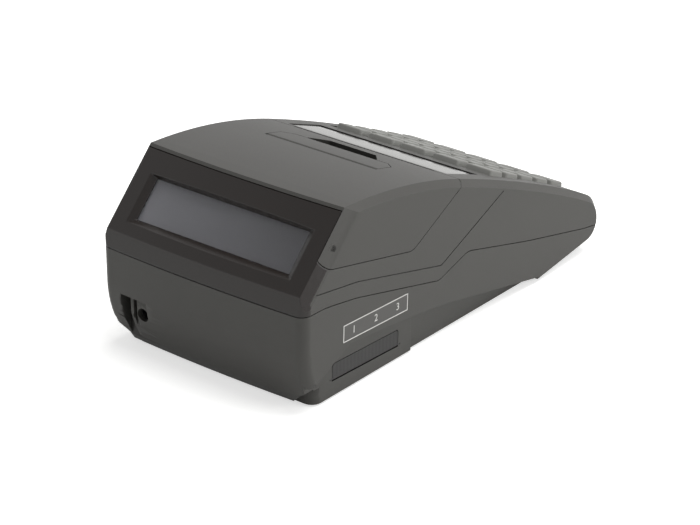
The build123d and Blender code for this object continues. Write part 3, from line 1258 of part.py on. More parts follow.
def screws():
    """Four screws join the shells, four hold the main board and four the keypad board."""
    shell = screw(SHELL_JOINT - BOTTOM - SHELL_SCREW_SEAT + SHELL_SCREW_BITE)
    board = Rot(180, 0, 0) * screw(BOARD_WALL + BOARD_SCREW_BITE)
    group = [screw_place(spot, hand, BOTTOM + SHELL_SCREW_SEAT - SCREW_HEAD) * shell
             for spot, hand in mirrored(SHELL_SCREWS)]
    group += [screw_place(spot, hand, MAIN_BOARD_HEIGHT + BOARD_WALL + SCREW_HEAD) * board
              for spot, hand in mirrored(BOARD_POSTS)]
    group += [place * screw(BOARD_WALL + KEYPAD_SCREW_BITE)
              for place in keypad_spots(MAT_DROP + MAT_WALL + BOARD_WALL + SCREW_HEAD)]
    return Part() + group


NODES = {
    "base_shell": base_shell, "upper_shell": upper_shell, "customer_bezel": customer_bezel,
    "customer_lens": customer_lens, "customer_lcd": customer_lcd, "paper_cover": paper_cover,
    "cover_pins": cover_pins, "cover_lever": cover_lever, "lever_pin": lever_pin,
    "platen_shaft": platen_shaft, "platen_rubber": platen_rubber, "platen_gear": platen_gear,
    "printer_frame": printer_frame, "print_head": print_head, "head_pin": head_pin,
    "head_spring": head_spring, "stepper_motor": stepper_motor, "motor_gear": motor_gear,
    "idler_gear": idler_gear, "tear_bar": tear_bar, "paper_roll": paper_roll, "paper_core": paper_core,
    "operator_window": operator_window, "operator_lcd": operator_lcd, "keypad_mat": keypad_mat,
    "keypad_board": keypad_board, "main_board": main_board, "battery_pack": battery_pack,
    "battery_door": battery_door, "dc_jack": dc_jack, "port_sockets": port_sockets,
    "port_cover": port_cover, "port_label": port_label, "rubber_feet": rubber_feet, "screws": screws,
}

os.makedirs("parts", exist_ok=True)
for name, make in NODES.items():
    export_step(make(), f"parts/{name}.step")
for row in range(1, KEY_ROWS + 1):
    for column in range(1, KEY_COLUMNS + 1):
        export_step(keypad_key(row, column), f"parts/key_r{row}c{column}.step")
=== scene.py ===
import json
import math

import bmesh
import bpy
from mathutils import Matrix, Vector
from mathutils.bvhtree import BVHTree


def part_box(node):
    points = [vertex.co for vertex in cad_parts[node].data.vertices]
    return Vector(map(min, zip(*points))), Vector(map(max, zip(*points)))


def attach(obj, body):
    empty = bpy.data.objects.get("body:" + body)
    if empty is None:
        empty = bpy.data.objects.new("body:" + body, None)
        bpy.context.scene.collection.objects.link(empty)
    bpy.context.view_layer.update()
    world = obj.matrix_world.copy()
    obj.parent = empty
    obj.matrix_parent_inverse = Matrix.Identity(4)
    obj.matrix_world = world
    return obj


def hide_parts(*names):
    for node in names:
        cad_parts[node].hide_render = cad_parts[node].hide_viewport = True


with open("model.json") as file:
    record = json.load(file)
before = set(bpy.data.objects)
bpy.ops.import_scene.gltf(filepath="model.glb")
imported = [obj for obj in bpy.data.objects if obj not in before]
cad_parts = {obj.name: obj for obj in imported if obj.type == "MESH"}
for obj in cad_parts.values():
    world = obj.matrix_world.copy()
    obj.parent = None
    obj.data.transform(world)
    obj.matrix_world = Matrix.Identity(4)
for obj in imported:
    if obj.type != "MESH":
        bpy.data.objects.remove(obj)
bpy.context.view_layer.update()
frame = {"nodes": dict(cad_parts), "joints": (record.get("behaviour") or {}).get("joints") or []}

# Camera: behind and above the register, on its socket side, with a long lens
# that keeps the housing's edges nearly parallel.
camera_data = bpy.data.cameras.new("camera")
camera_data.sensor_width = 36.0
camera_data.lens = 133.75
camera_data.clip_end = 20.0
camera = bpy.data.objects.new("camera", camera_data)
camera.location = (-0.6772, 0.8448, 0.5385)
camera.rotation_euler = Vector((0.5663, -0.7001, -0.4348)).to_track_quat("-Z", "Y").to_euler()
bpy.context.scene.collection.objects.link(camera)
bpy.context.scene.camera = camera
bpy.context.scene.view_settings.view_transform = "Standard"


# Table: a seamless sweep of pale paper that the register stands on. It takes the
# soft shadow, and it shows nearly white to the camera and in reflections.
def linear(hex_colour):
    """An sRGB hex colour as linear light, with an alpha of one."""
    parts = [int(hex_colour[i:i + 2], 16) / 255 for i in (1, 3, 5)]
    light = [p / 12.92 if p <= 0.04045 else ((p + 0.055) / 1.055) ** 2.4 for p in parts]
    return (*light, 1.0)


def new_material(name):
    """An empty node material, and its tree."""
    material = bpy.data.materials.new(name)
    material.use_nodes = True
    material.node_tree.nodes.clear()
    return material, material.node_tree


def node(tree, kind, links=(), stops=(), **settings):
    """Adds a node. Settings are properties, or input values with in_ before the input's name.
    links are (input, output socket) pairs, and stops are a ramp's (position, colour) pairs."""
    made = tree.nodes.new(kind)
    for key, value in settings.items():
        if key.startswith("in_"):
            made.inputs[key[3:].replace("_", " ")].default_value = value
        else:
            setattr(made, key, value)
    for name, socket in links:
        tree.links.new(socket, made.inputs[name])
    for index, (position, colour) in enumerate(stops):
        made.color_ramp.elements[index].position = position
        made.color_ramp.elements[index].color = colour
    return made


def seen_directly(tree):
    """One for rays from the camera, from gloss and through clear windows, and nought for the rest."""
    path = node(tree, "ShaderNodeLightPath")
    shiny = node(tree, "ShaderNodeMath", operation="MAXIMUM",
                 links=[(0, path.outputs["Is Camera Ray"]), (1, path.outputs["Is Glossy Ray"])])
    return node(tree, "ShaderNodeMath", operation="MAXIMUM",
                links=[(0, shiny.outputs[0]), (1, path.outputs["Is Transmission Ray"])]).outputs[0]


SWEEP_HALF = 6.0
SWEEP_GLOW = 0.62
SWEEP_GLOSS = 0.2
floor_mesh = bpy.data.meshes.new("paper_sweep")
floor_bm = bmesh.new()
bmesh.ops.create_grid(floor_bm, x_segments=1, y_segments=1, size=SWEEP_HALF)
floor_bm.to_mesh(floor_mesh)
floor_bm.free()
floor = bpy.data.objects.new("paper_sweep", floor_mesh)
bpy.context.scene.collection.objects.link(floor)
sweep_paper, tree = new_material("pale_paper_sweep")
path = node(tree, "ShaderNodeLightPath")
mirrored = node(tree, "ShaderNodeMapRange", in_To_Max=SWEEP_GLOSS,
                links=[("Value", path.outputs["Is Glossy Ray"])])
direct = node(tree, "ShaderNodeMath", operation="MAXIMUM",
              links=[(0, path.outputs["Is Camera Ray"]), (1, path.outputs["Is Transmission Ray"])])
glow = node(tree, "ShaderNodeMapRange", in_To_Max=SWEEP_GLOW,
            links=[("Value", direct.outputs[0]), ("To Min", mirrored.outputs[0])])
matt = node(tree, "ShaderNodeBsdfDiffuse", in_Color=linear("#e9e9e7"))
light = node(tree, "ShaderNodeEmission", in_Color=(1, 1, 1, 1), links=[("Strength", glow.outputs[0])])
both = node(tree, "ShaderNodeAddShader", links=[(0, matt.outputs[0]), (1, light.outputs[0])])
node(tree, "ShaderNodeOutputMaterial", links=[("Surface", both.outputs[0])])
floor.data.materials.append(sweep_paper)

# Studio: a pale room, white towards the horizon and dimmer overhead as gloss sees it,
# with a large soft box above and a weaker one on the operator's left.
ROOM_FILL = 0.27
GLOSS_OVERHEAD = 0.4
GLOSS_FADE = (0.37, 0.8)
REGISTER_MIDDLE = (0, 0, 0.04)
world = bpy.data.worlds.new("pale_room")
bpy.context.scene.world = world
world.use_nodes = True
tree = world.node_tree
tree.nodes.clear()
place = node(tree, "ShaderNodeTexCoord")
height = node(tree, "ShaderNodeSeparateXYZ", links=[("Vector", place.outputs["Generated"])])
gloss = node(tree, "ShaderNodeMapRange", in_From_Min=GLOSS_FADE[0], in_From_Max=GLOSS_FADE[1], in_To_Min=1.0,
             in_To_Max=GLOSS_OVERHEAD, links=[("Value", height.outputs["Z"])])
path = node(tree, "ShaderNodeLightPath")
backdrop = node(tree, "ShaderNodeMath", operation="MAXIMUM",
                links=[(0, path.outputs["Is Camera Ray"]), (1, path.outputs["Is Transmission Ray"])])
backdrop = node(tree, "ShaderNodeMath", operation="MAXIMUM",
                links=[(0, backdrop.outputs[0]), (1, gloss.outputs[0])])
level = node(tree, "ShaderNodeMapRange", in_To_Min=ROOM_FILL,
             links=[("Value", seen_directly(tree)), ("To Max", backdrop.outputs[0])])
background = node(tree, "ShaderNodeBackground", in_Color=(1, 1, 1, 1), links=[("Strength", level.outputs[0])])
node(tree, "ShaderNodeOutputWorld", links=[("Surface", background.outputs[0])])


def soft_box(name, place, size, power):
    """A square area lamp that points at the middle of the register."""
    data = bpy.data.lights.new(name, "AREA")
    data.size = size
    data.energy = power
    lamp = bpy.data.objects.new(name, data)
    lamp.location = place
    lamp.rotation_euler = (Vector(REGISTER_MIDDLE) - Vector(place)).to_track_quat("-Z", "Y").to_euler()
    bpy.context.scene.collection.objects.link(lamp)


soft_box("overhead_box", (-0.25, -0.35, 1.5), 1.2, 22.5)
soft_box("side_box", (-1.3, -0.6, 0.55), 0.8, 7.6)


# Base shell: the lower half of the housing, with the jack recess, the socket bay and
# an inset foot, whose rear corners a cutter rounds. Injection-moulded ABS with a fine
# spark-eroded grain, so it is dull and evenly grey, with edges that are slightly soft.
def added(name, mesh, body, materials, replaces=()):
    """Puts a finished mesh into the scene, riding on a body. Each face keeps its choice of material,
    which clearing a mesh's materials would lose."""
    piece = bpy.data.objects.new(name, mesh)
    bpy.context.scene.collection.objects.link(piece)
    chosen = [face.material_index for face in mesh.polygons]
    mesh.materials.clear()
    for material in materials:
        mesh.materials.append(material)
    for face, index in zip(mesh.polygons, chosen):
        face.material_index = index
    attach(piece, body)
    if replaces:
        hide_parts(*replaces)
    return piece


WELD = 2e-6
SLIVER = 1e-7
FLAT_DEGREES = 0.4
SHARP_DEGREES = 17.0


def joined_skin(name, body, material):
    """A CAD node's surface with its faces joined, so that its curves shade smoothly."""
    mesh = frame["nodes"][name].data.copy()
    mesh.name = name + "_skin"
    bm = bmesh.new()
    bm.from_mesh(mesh)
    bmesh.ops.remove_doubles(bm, verts=bm.verts, dist=WELD)
    bmesh.ops.dissolve_degenerate(bm, edges=bm.edges, dist=SLIVER)
    bmesh.ops.dissolve_limit(bm, angle_limit=math.radians(FLAT_DEGREES), verts=bm.verts, edges=bm.edges)
    bm.to_mesh(mesh)
    bm.free()
    mesh.shade_smooth()
    mesh.set_sharp_from_angle(angle=math.radians(SHARP_DEGREES))
    piece = added(name + "_skin", mesh, body, [material], [name])
    flats = piece.modifiers.new("flat_faces_stay_flat", "WEIGHTED_NORMAL")
    flats.keep_sharp = True
    flats.weight = 100
    return piece


# The darkest painted shade, which occlusion puts into gaps, grooves and hollows, and the range of occlusion
# over which it fades out.
PAINTED_GAP_SHADE = 0.12
GAP_OPENNESS = (0.25, 0.8)
TONE_DRIFT = 0.05
RELIEF_DEPTH = 0.0002
EDGE_TURN = (0.99, 0.9)


def moulded_plastic(name, colour, grain_mm=0.7, roughness=0.48, relief=0.06, edge_mm=0.15, gap_mm=2.0,
                    edge_highlight_gain=1.0):
    """Injection-moulded plastic: an even grain, a slight drift of tone, painted shade in gaps and hollows,
    and soft edges.
    Above one, the last argument paints a highlight that makes the edges lighter."""
    material, tree = new_material(name)
    place = node(tree, "ShaderNodeTexCoord").outputs["Object"]
    grain = node(tree, "ShaderNodeTexNoise", in_Scale=1000.0 / grain_mm, in_Detail=2.0, in_Roughness=0.6,
                 links=[("Vector", place)])
    flow = node(tree, "ShaderNodeTexNoise", in_Scale=18.0, in_Detail=3.0, links=[("Vector", place)])
    base = Vector(linear(colour)[:3])
    tone = node(tree, "ShaderNodeValToRGB", links=[("Fac", flow.outputs["Fac"])],
                stops=[(0.3, (*(base * (1 - TONE_DRIFT)), 1)), (0.7, (*(base * (1 + TONE_DRIFT)), 1))])
    # Painted shade: occlusion within gap_mm darkens the colour in gaps, grooves and hollows.
    gap_occlusion = node(tree, "ShaderNodeAmbientOcclusion", samples=8, in_Distance=gap_mm / 1000.0)
    painted_gap_shade = node(tree, "ShaderNodeMapRange", in_From_Min=GAP_OPENNESS[0], in_From_Max=GAP_OPENNESS[1],
                 in_To_Min=PAINTED_GAP_SHADE, links=[("Value", gap_occlusion.outputs["AO"])])
    rounding = node(tree, "ShaderNodeBevel", samples=6, in_Radius=edge_mm / 1000.0)
    shape = node(tree, "ShaderNodeNewGeometry")
    turn = node(tree, "ShaderNodeVectorMath", operation="DOT_PRODUCT",
                links=[(0, rounding.outputs[0]), (1, shape.outputs["Normal"])])
    # Painted highlight: where the rounded normal turns away from the face's own, the edge is made lighter.
    painted_edge_highlight = node(tree, "ShaderNodeMapRange", in_From_Min=EDGE_TURN[0], in_From_Max=EDGE_TURN[1], in_To_Min=1.0,
                in_To_Max=edge_highlight_gain, links=[("Value", turn.outputs["Value"])])
    shade = node(tree, "ShaderNodeMath", operation="MULTIPLY",
                 links=[(0, painted_gap_shade.outputs[0]), (1, painted_edge_highlight.outputs[0])])
    tone = node(tree, "ShaderNodeVectorMath", operation="SCALE",
                links=[(0, tone.outputs["Color"]), ("Scale", shade.outputs[0])])
    bumps = node(tree, "ShaderNodeBump", in_Strength=relief, in_Distance=RELIEF_DEPTH,
                 links=[("Height", grain.outputs["Fac"]), ("Normal", rounding.outputs["Normal"])])
    polish = node(tree, "ShaderNodeMapRange", in_To_Min=roughness - 0.05, in_To_Max=roughness + 0.05,
                  links=[("Value", grain.outputs["Fac"])])
    shader = node(tree, "ShaderNodeBsdfPrincipled", in_IOR=1.5,
                  links=[("Base Color", tone.outputs[0]), ("Roughness", polish.outputs[0]),
                         ("Normal", bumps.outputs["Normal"])])
    node(tree, "ShaderNodeOutputMaterial", links=[("Surface", shader.outputs[0])])
    return material


# The housing's edges carry a painted highlight, up to 1.7 times as light as its faces.
grey_abs = moulded_plastic("grey_spark_eroded_abs", "#3e3d3a", relief=0.1, edge_highlight_gain=1.7)

FOOT_CORNER = (0.0543, 0.09951)
FOOT_RADIUS = 0.005
FOOT_TOP = 0.009
CLEAR = 0.002
ARC_STEPS = 8


def foot_corner_cutter():
    """Two prisms that leave a quarter round at the rear corners of the inset foot."""
    bm = bmesh.new()
    for hand in (-1, 1):
        corner_x, corner_y = hand * FOOT_CORNER[0], FOOT_CORNER[1]
        inner_x, inner_y = corner_x - hand * FOOT_RADIUS, corner_y - FOOT_RADIUS
        outer_x, outer_y = corner_x + hand * CLEAR, corner_y + CLEAR
        start = bm.verts.new((corner_x, inner_y, -CLEAR))
        bmesh.ops.spin(bm, geom=[start], cent=(inner_x, inner_y, -CLEAR), axis=(0, 0, hand),
                       angle=math.radians(90), steps=ARC_STEPS)
        arc = [start] + [vert for vert in bm.verts if vert != start and vert.co.x * hand > 0]
        arc.sort(key=lambda vert: vert.co.y)
        outside = [bm.verts.new((x, y, -CLEAR))
                   for x, y in ((inner_x, outer_y), (outer_x, outer_y), (outer_x, inner_y))]
        edges = [edge for edge in bm.edges if all(vert in arc for vert in edge.verts)]
        bmesh.ops.delete(bm, geom=edges, context="EDGES_FACES")
        face = bm.faces.new(arc + outside)
        raised = bmesh.ops.extrude_face_region(bm, geom=[face])["geom"]
        bmesh.ops.translate(bm, vec=(0, 0, FOOT_TOP + CLEAR),
                            verts=[part for part in raised if isinstance(part, bmesh.types.BMVert)])
    bmesh.ops.recalc_face_normals(bm, faces=bm.faces)
    mesh = bpy.data.meshes.new("foot_corner_cutter")
    bm.to_mesh(mesh)
    bm.free()
    cutter = bpy.data.objects.new("foot_corner_cutter", mesh)
    bpy.context.scene.collection.objects.link(cutter)
    return cutter


def round_foot_corners(skin):
    """Cuts the foot's corners round, before the weighted normals, which stay live on the result."""
    cutter = foot_corner_cutter()
    rounded = skin.modifiers.new("round_foot_corners", "BOOLEAN")
    rounded.operation = "DIFFERENCE"
    rounded.solver = "EXACT"
    rounded.object = cutter
    skin.modifiers.move(1, 0)
    skin.modifiers["flat_faces_stay_flat"].show_viewport = False
    bpy.context.view_layer.update()
    mesh = bpy.data.meshes.new_from_object(skin.evaluated_get(bpy.context.evaluated_depsgraph_get()))
    skin.modifiers.remove(rounded)
    skin.modifiers["flat_faces_stay_flat"].show_viewport = True
    bpy.data.objects.remove(cutter)
    skin.data = mesh
    mesh.shade_smooth()
    mesh.set_sharp_from_angle(angle=math.radians(SHARP_DEGREES))


round_foot_corners(joined_skin("base_shell", "root", grey_abs))

# Four feet: small pads of black rubber pressed into round seats under the base.
# Moulded rubber is nearly black, dull, and a little mottled with dust.
foot_rubber = moulded_plastic("black_moulded_rubber", "#232322", grain_mm=1.5, roughness=0.8, relief=0.2,
                              edge_mm=0.3)


def finished(name, material):
    """Gives a CAD node whose shape is right its own finish."""
    frame["nodes"][name].data.materials.clear()
    frame["nodes"][name].data.materials.append(material)


finished("rubber_feet", foot_rubber)

# Battery: a pack in shrink film in a bay of the base, behind a door of the same ABS
# that slides forwards.
finished("battery_pack",
         moulded_plastic("blue_grey_shrink_film", "#2b2f3a", grain_mm=6.0, roughness=0.3, relief=0.3))
finished("battery_door", grey_abs)


# Boards: glass-epoxy laminate under green solder mask. Copper tracks show through it as
# fine lighter lines, which are drawn like the joints of a brick wall.
def solder_masked_board(name, pattern_mm=2.2):
    """Green laminate with lighter lines on it like brick joints, each brick half of pattern_mm long."""
    material, tree = new_material(name)
    place = node(tree, "ShaderNodeTexCoord").outputs["Object"]
    tracks = node(tree, "ShaderNodeTexBrick", in_Scale=1000.0 / pattern_mm, in_Mortar_Size=0.06,
                  in_Color1=linear("#1f5a3a"), in_Color2=linear("#1a5034"), in_Mortar=linear("#3f8258"),
                  links=[("Vector", place)])
    shader = node(tree, "ShaderNodeBsdfPrincipled", in_Roughness=0.3, in_IOR=1.55,
                  links=[("Base Color", tracks.outputs["Color"])])
    node(tree, "ShaderNodeOutputMaterial", links=[("Surface", shader.outputs[0])])
    return material


green_laminate = solder_masked_board("green_solder_masked_laminate")
for name in ("main_board", "keypad_board"):
    finished(name, green_laminate)


# Power jack: a moulded black block behind a round hole in the rear recess. Its centre
# pin is nickel-plated, with a bevelled end that has a shallow hole in it.
TURNED_WELD = 1e-6
TURNED_SHARP_DEGREES = 35.0


def plated_metal(name, colour, roughness=0.28, grain_mm=0.4, along=(1.0, 1.0, 1.0)):
    """Plated or turned metal; the grain is stretched where along is small."""
    material, tree = new_material(name)
    place = node(tree, "ShaderNodeTexCoord").outputs["Object"]
    lay = node(tree, "ShaderNodeMapping", in_Scale=along, links=[("Vector", place)])
    grain = node(tree, "ShaderNodeTexNoise", in_Scale=1000.0 / grain_mm, in_Detail=3.0,
                 links=[("Vector", lay.outputs[0])])
    polish = node(tree, "ShaderNodeMapRange", in_To_Min=roughness - 0.08, in_To_Max=roughness + 0.08,
                  links=[("Value", grain.outputs["Fac"])])
    base = Vector(linear(colour)[:3])
    tone = node(tree, "ShaderNodeValToRGB", links=[("Fac", grain.outputs["Fac"])],
                stops=[(0.3, (*(base * 0.9), 1)), (0.7, (*base, 1))])
    shader = node(tree, "ShaderNodeBsdfPrincipled", in_Metallic=1.0,
                  links=[("Base Color", tone.outputs["Color"]), ("Roughness", polish.outputs[0])])
    node(tree, "ShaderNodeOutputMaterial", links=[("Surface", shader.outputs[0])])
    return material


def turned_profile(name, profile, centre, segments):
    """A closed round mesh about an axis along X: profile is (distance along X, radius) points, in metres."""
    bm = bmesh.new()
    points = [bm.verts.new(Vector(centre) + Vector((along, 0.0, radius))) for along, radius in profile]
    edges = [bm.edges.new((a, b)) for a, b in zip(points, points[1:] + points[:1])]
    bmesh.ops.spin(bm, geom=points + edges, cent=centre, axis=(1, 0, 0), angle=math.tau, steps=segments,
                   use_merge=True)
    bmesh.ops.remove_doubles(bm, verts=bm.verts, dist=TURNED_WELD)
    bmesh.ops.recalc_face_normals(bm, faces=bm.faces)
    mesh = bpy.data.meshes.new(name)
    bm.to_mesh(mesh)
    bm.free()
    mesh.shade_smooth()
    mesh.set_sharp_from_angle(angle=math.radians(TURNED_SHARP_DEGREES))
    return mesh


jack_black = moulded_plastic("black_moulded_nylon", "#1b1b1c", roughness=0.4, relief=0.03)
finished("dc_jack", jack_black)
bright_nickel = plated_metal("bright_nickel_plate", "#c9c7c0", roughness=0.18)
jack_low, jack_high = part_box("dc_jack")
PIN_RADIUS = 0.00104
PIN_BORE = PIN_RADIUS * 0.4
PIN_TIP = PIN_RADIUS * 0.6
PIN_LENGTH = 0.0062
PIN_BEVEL = 0.0006
PIN_SET_BACK = 0.0007
pin_mesh = turned_profile("jack_pin", [(-PIN_LENGTH, PIN_BORE), (-PIN_LENGTH, PIN_RADIUS),
                                       (-PIN_BEVEL, PIN_RADIUS), (0.0, PIN_TIP), (0.0, PIN_BORE)],
                          (0, 0, 0), segments=24)
pin_mesh.transform(Matrix.Rotation(math.radians(90), 4, "Z"))
pin_mesh.transform(Matrix.Translation(((jack_low.x + jack_high.x) / 2, jack_high.y - PIN_SET_BACK,
                                       (jack_low.z + jack_high.z) / 2)))
added("jack_pin", pin_mesh, "root", [bright_nickel])

# Data sockets: four black housings in a row on the main board, behind the socket cover.
finished("port_sockets", jack_black)


# Socket cover: a separate dark moulding with upright ribs that hinges down out of the
# bay. The ribs are two and a half millimetres apart, and it is duller than the housing.
def ribbed_plastic(name, colour, wave_mm=1.25):
    """Dull plastic with upright ribs that follow each other along Y, every 1.97 times wave_mm."""
    material, tree = new_material(name)
    place = node(tree, "ShaderNodeTexCoord").outputs["Object"]
    ribs = node(tree, "ShaderNodeTexWave", wave_type="BANDS", bands_direction="Y",
                in_Scale=1000.0 / wave_mm / math.tau, in_Distortion=0.0, links=[("Vector", place)])
    base = Vector(linear(colour)[:3])
    # Painted shade and light: the bands are darker in the rib hollows and lighter on the rib crests.
    tone = node(tree, "ShaderNodeValToRGB", links=[("Fac", ribs.outputs["Fac"])],
                stops=[(0.2, (*(base * 0.85), 1)), (0.8, (*(base * 1.1), 1))])
    relief = node(tree, "ShaderNodeBump", in_Strength=0.12, in_Distance=RELIEF_DEPTH,
                  links=[("Height", ribs.outputs["Fac"])])
    shader = node(tree, "ShaderNodeBsdfPrincipled", in_Roughness=0.55, in_IOR=1.5,
                  links=[("Base Color", tone.outputs["Color"]), ("Normal", relief.outputs["Normal"])])
    node(tree, "ShaderNodeOutputMaterial", links=[("Surface", shader.outputs[0])])
    return material


joined_skin("port_cover", "port_flap", ribbed_plastic("dark_ribbed_abs", "#2c2b2b"))

# Socket label: a film plate let into the wall over the bay, with a fine pale border and
# three plain numbers.
LABEL_BORDER = 0.0005
LABEL_SUNK = 0.00006
LABEL_FLAT_DEGREES = 1.0
NUMBER_HEIGHT = 0.0034
NUMBER_SHARE = 0.34
DIGIT_SHARE = 0.7
FACING_OUT = 0.9
label_film = moulded_plastic("grey_label_film", "#494846", roughness=0.4, relief=0.03, gap_mm=0.05)
pale_ink = moulded_plastic("pale_screen_ink", "#d6d5d2", roughness=0.5, relief=0.0, edge_mm=0.02, gap_mm=0.05)
label_mesh = frame["nodes"]["port_label"].data.copy()
label_mesh.name = "port_label_plate"
label_bm = bmesh.new()
label_bm.from_mesh(label_mesh)
bmesh.ops.remove_doubles(label_bm, verts=label_bm.verts, dist=WELD)
bmesh.ops.translate(label_bm, vec=(LABEL_SUNK, 0, 0), verts=label_bm.verts)
bmesh.ops.dissolve_limit(label_bm, angle_limit=math.radians(LABEL_FLAT_DEGREES), verts=label_bm.verts,
                         edges=label_bm.edges)
outer = [face for face in label_bm.faces if face.normal.x < -FACING_OUT]
label_frame = [vert.co.copy() for vert in outer[0].verts]
label_normal = outer[0].normal.copy()
border = bmesh.ops.inset_region(label_bm, faces=outer, thickness=LABEL_BORDER, use_even_offset=True)
for face in border["faces"]:
    face.material_index = 1
label_bm.to_mesh(label_mesh)
label_bm.free()
added("port_label_plate", label_mesh, "root", [label_film, pale_ink], ["port_label"])


def printed_number(text, height, thickness=0.00003):
    """Digits as a thin mesh, centred on the origin, in the XY plane, in the default face."""
    curve = bpy.data.curves.new("digits", "FONT")
    curve.body = text
    curve.size = height / DIGIT_SHARE
    curve.align_x = "CENTER"
    curve.align_y = "CENTER"
    curve.extrude = thickness
    curve.resolution_u = 4
    made = bpy.data.objects.new("digits", curve)
    bpy.context.scene.collection.objects.link(made)
    bpy.context.view_layer.update()
    mesh = bpy.data.meshes.new_from_object(made.evaluated_get(bpy.context.evaluated_depsgraph_get()))
    bpy.data.objects.remove(made)
    return mesh


label_middle = sum(label_frame, Vector()) / len(label_frame)
label_sides = [b - a for a, b in zip(label_frame, label_frame[1:] + label_frame[:1])]
label_along = max(label_sides, key=lambda side: side.length)
label_length = label_along.length
label_along = label_along.normalized() if label_along.y < 0 else -label_along.normalized()
label_up = label_normal.cross(label_along)
for number, share in (("1", NUMBER_SHARE), ("2", 0.0), ("3", -NUMBER_SHARE)):
    digits = printed_number(number, NUMBER_HEIGHT)
    spot = label_middle - label_along * label_length * share
    digits.transform(Matrix((label_along, label_up, label_normal)).transposed().to_4x4())
    digits.transform(Matrix.Translation(spot))
    added("socket_number_" + number, digits, "root", [pale_ink])

# Printer: a folded and zinc-plated steel frame in the tub, with two cheeks, a sprung
# thermal head on a pin, a toothed tear bar of spring steel, and a stepper motor.
zinc_steel = plated_metal("zinc_plated_sheet_steel", "#9c9d9c", roughness=0.38, grain_mm=3.0)
drawn_steel = plated_metal("drawn_steel_rod", "#a9a9a6", roughness=0.28, grain_mm=0.3, along=(0.05, 1.0, 1.0))
finished("printer_frame", zinc_steel)
finished("stepper_motor", zinc_steel)
finished("print_head",
         plated_metal("extruded_aluminium", "#b9bab9", roughness=0.35, grain_mm=0.3, along=(0.05, 1.0, 1.0)))
finished("head_spring", drawn_steel)
finished("tear_bar", drawn_steel)
joined_skin("head_pin", "root", drawn_steel)

# Gear train: a turned brass pinion on the motor, a moulded acetal idler and the platen
# gear. Acetal is milky and slightly waxy.
acetal = moulded_plastic("natural_moulded_acetal", "#e6e2d6", roughness=0.35, relief=0.0, edge_mm=0.1)
joined_skin("motor_gear", "motor", plated_metal("turned_brass", "#b79a55", roughness=0.25))
joined_skin("idler_gear", "idler", acetal)
joined_skin("platen_gear", "platen", acetal)


# Paper: an 80 mm thermal roll on a card core, loose in the trough. Its ends show the
# layers as fine rings, drawn about two millimetres apart.
def ringed_paper(name, colour, centre, wave_mm=1.0):
    """White paper with rings about an axis along X, which repeat every 1.97 times wave_mm."""
    material, tree = new_material(name)
    place = node(tree, "ShaderNodeTexCoord").outputs["Object"]
    about = node(tree, "ShaderNodeMapping", in_Location=(0.0, -centre.y, -centre.z),
                 links=[("Vector", place)])
    rings = node(tree, "ShaderNodeTexWave", wave_type="RINGS", rings_direction="X",
                 in_Scale=1000.0 / wave_mm / math.tau, in_Distortion=0.4, in_Detail=2.0,
                 links=[("Vector", about.outputs[0])])
    base = Vector(linear(colour)[:3])
    tone = node(tree, "ShaderNodeValToRGB", links=[("Fac", rings.outputs["Fac"])],
                stops=[(0.0, (*(base * 0.86), 1)), (0.6, (*base, 1))])
    shader = node(tree, "ShaderNodeBsdfPrincipled", in_Roughness=0.75, in_IOR=1.45,
                  links=[("Base Color", tone.outputs["Color"])])
    node(tree, "ShaderNodeOutputMaterial", links=[("Surface", shader.outputs[0])])
    return material


def round_tube(name, node_name, inner, edge, body, material):
    """A round tube along X in the place of a flat-sided CAD node, with softened rims."""
    low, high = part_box(node_name)
    centre = Vector(((low.x + high.x) / 2, (low.y + high.y) / 2, (low.z + high.z) / 2))
    half, radius = (high.x - low.x) / 2, (high.z - low.z) / 2
    profile = [(-half, inner), (-half, radius - edge), (-half + edge, radius), (half - edge, radius),
               (half, radius - edge), (half, inner)]
    mesh = turned_profile(name, profile, centre, segments=96)
    added(name, mesh, body, [material], [node_name])


CORE_WALL = 0.0018
ROLL_RIM = 0.0004
CORE_RIM = 0.0002
core_low, core_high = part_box("paper_core")
core_radius = (core_high.z - core_low.z) / 2
roll_centre = Vector((0.0, (core_low.y + core_high.y) / 2, (core_low.z + core_high.z) / 2))
round_tube("thermal_roll", "paper_roll", core_radius, ROLL_RIM, "roll",
           ringed_paper("white_thermal_paper", "#f2f0ea", roll_centre))
round_tube("roll_core", "paper_core", core_radius - CORE_WALL, CORE_RIM, "roll",
           moulded_plastic("brown_wound_card", "#a98b62", grain_mm=2.0, roughness=0.85, relief=0.3))

# Keypad: a silicone mat on the board, with twenty-five caps of lighter grey ABS that
# stand through the deck. Each cap has drafted sides, round corners and a dished top.
KEY_SIZE = (0.0164, 0.0112)
KEY_TOP = (0.0147, 0.0096)
KEY_PROUD = 0.0034
KEY_SKIRT = 0.0032
KEY_FLANGE = (0.0007, 0.001)
KEY_CORNER = 0.0015
KEY_RIM = 0.0007
KEY_SHARP_DEGREES = 40.0
KEY_NUMBER_HEIGHT = 0.0042
DISH_STEPS = ((0.92, 0.88, 0.00004), (0.9, 0.85, 0.00011), (0.87, 0.8, 0.0001))
DISH = sum(sink for shrink_x, shrink_y, sink in DISH_STEPS)
finished("keypad_mat", moulded_plastic("grey_silicone_rubber", "#8f8e89", roughness=0.7, relief=0.02))
key_abs = moulded_plastic("light_grey_key_abs", "#7c7c78", grain_mm=0.5, roughness=0.45, edge_mm=0.05)
legend_ink = moulded_plastic("dark_legend_ink", "#2c2c2c", roughness=0.5, relief=0.0, edge_mm=0.02)


def highest_face(bm):
    """The face with the highest middle, and of those the largest."""
    bm.normal_update()
    return max(bm.faces, key=lambda face: (round(face.calc_center_median().z, 7), face.calc_area()))


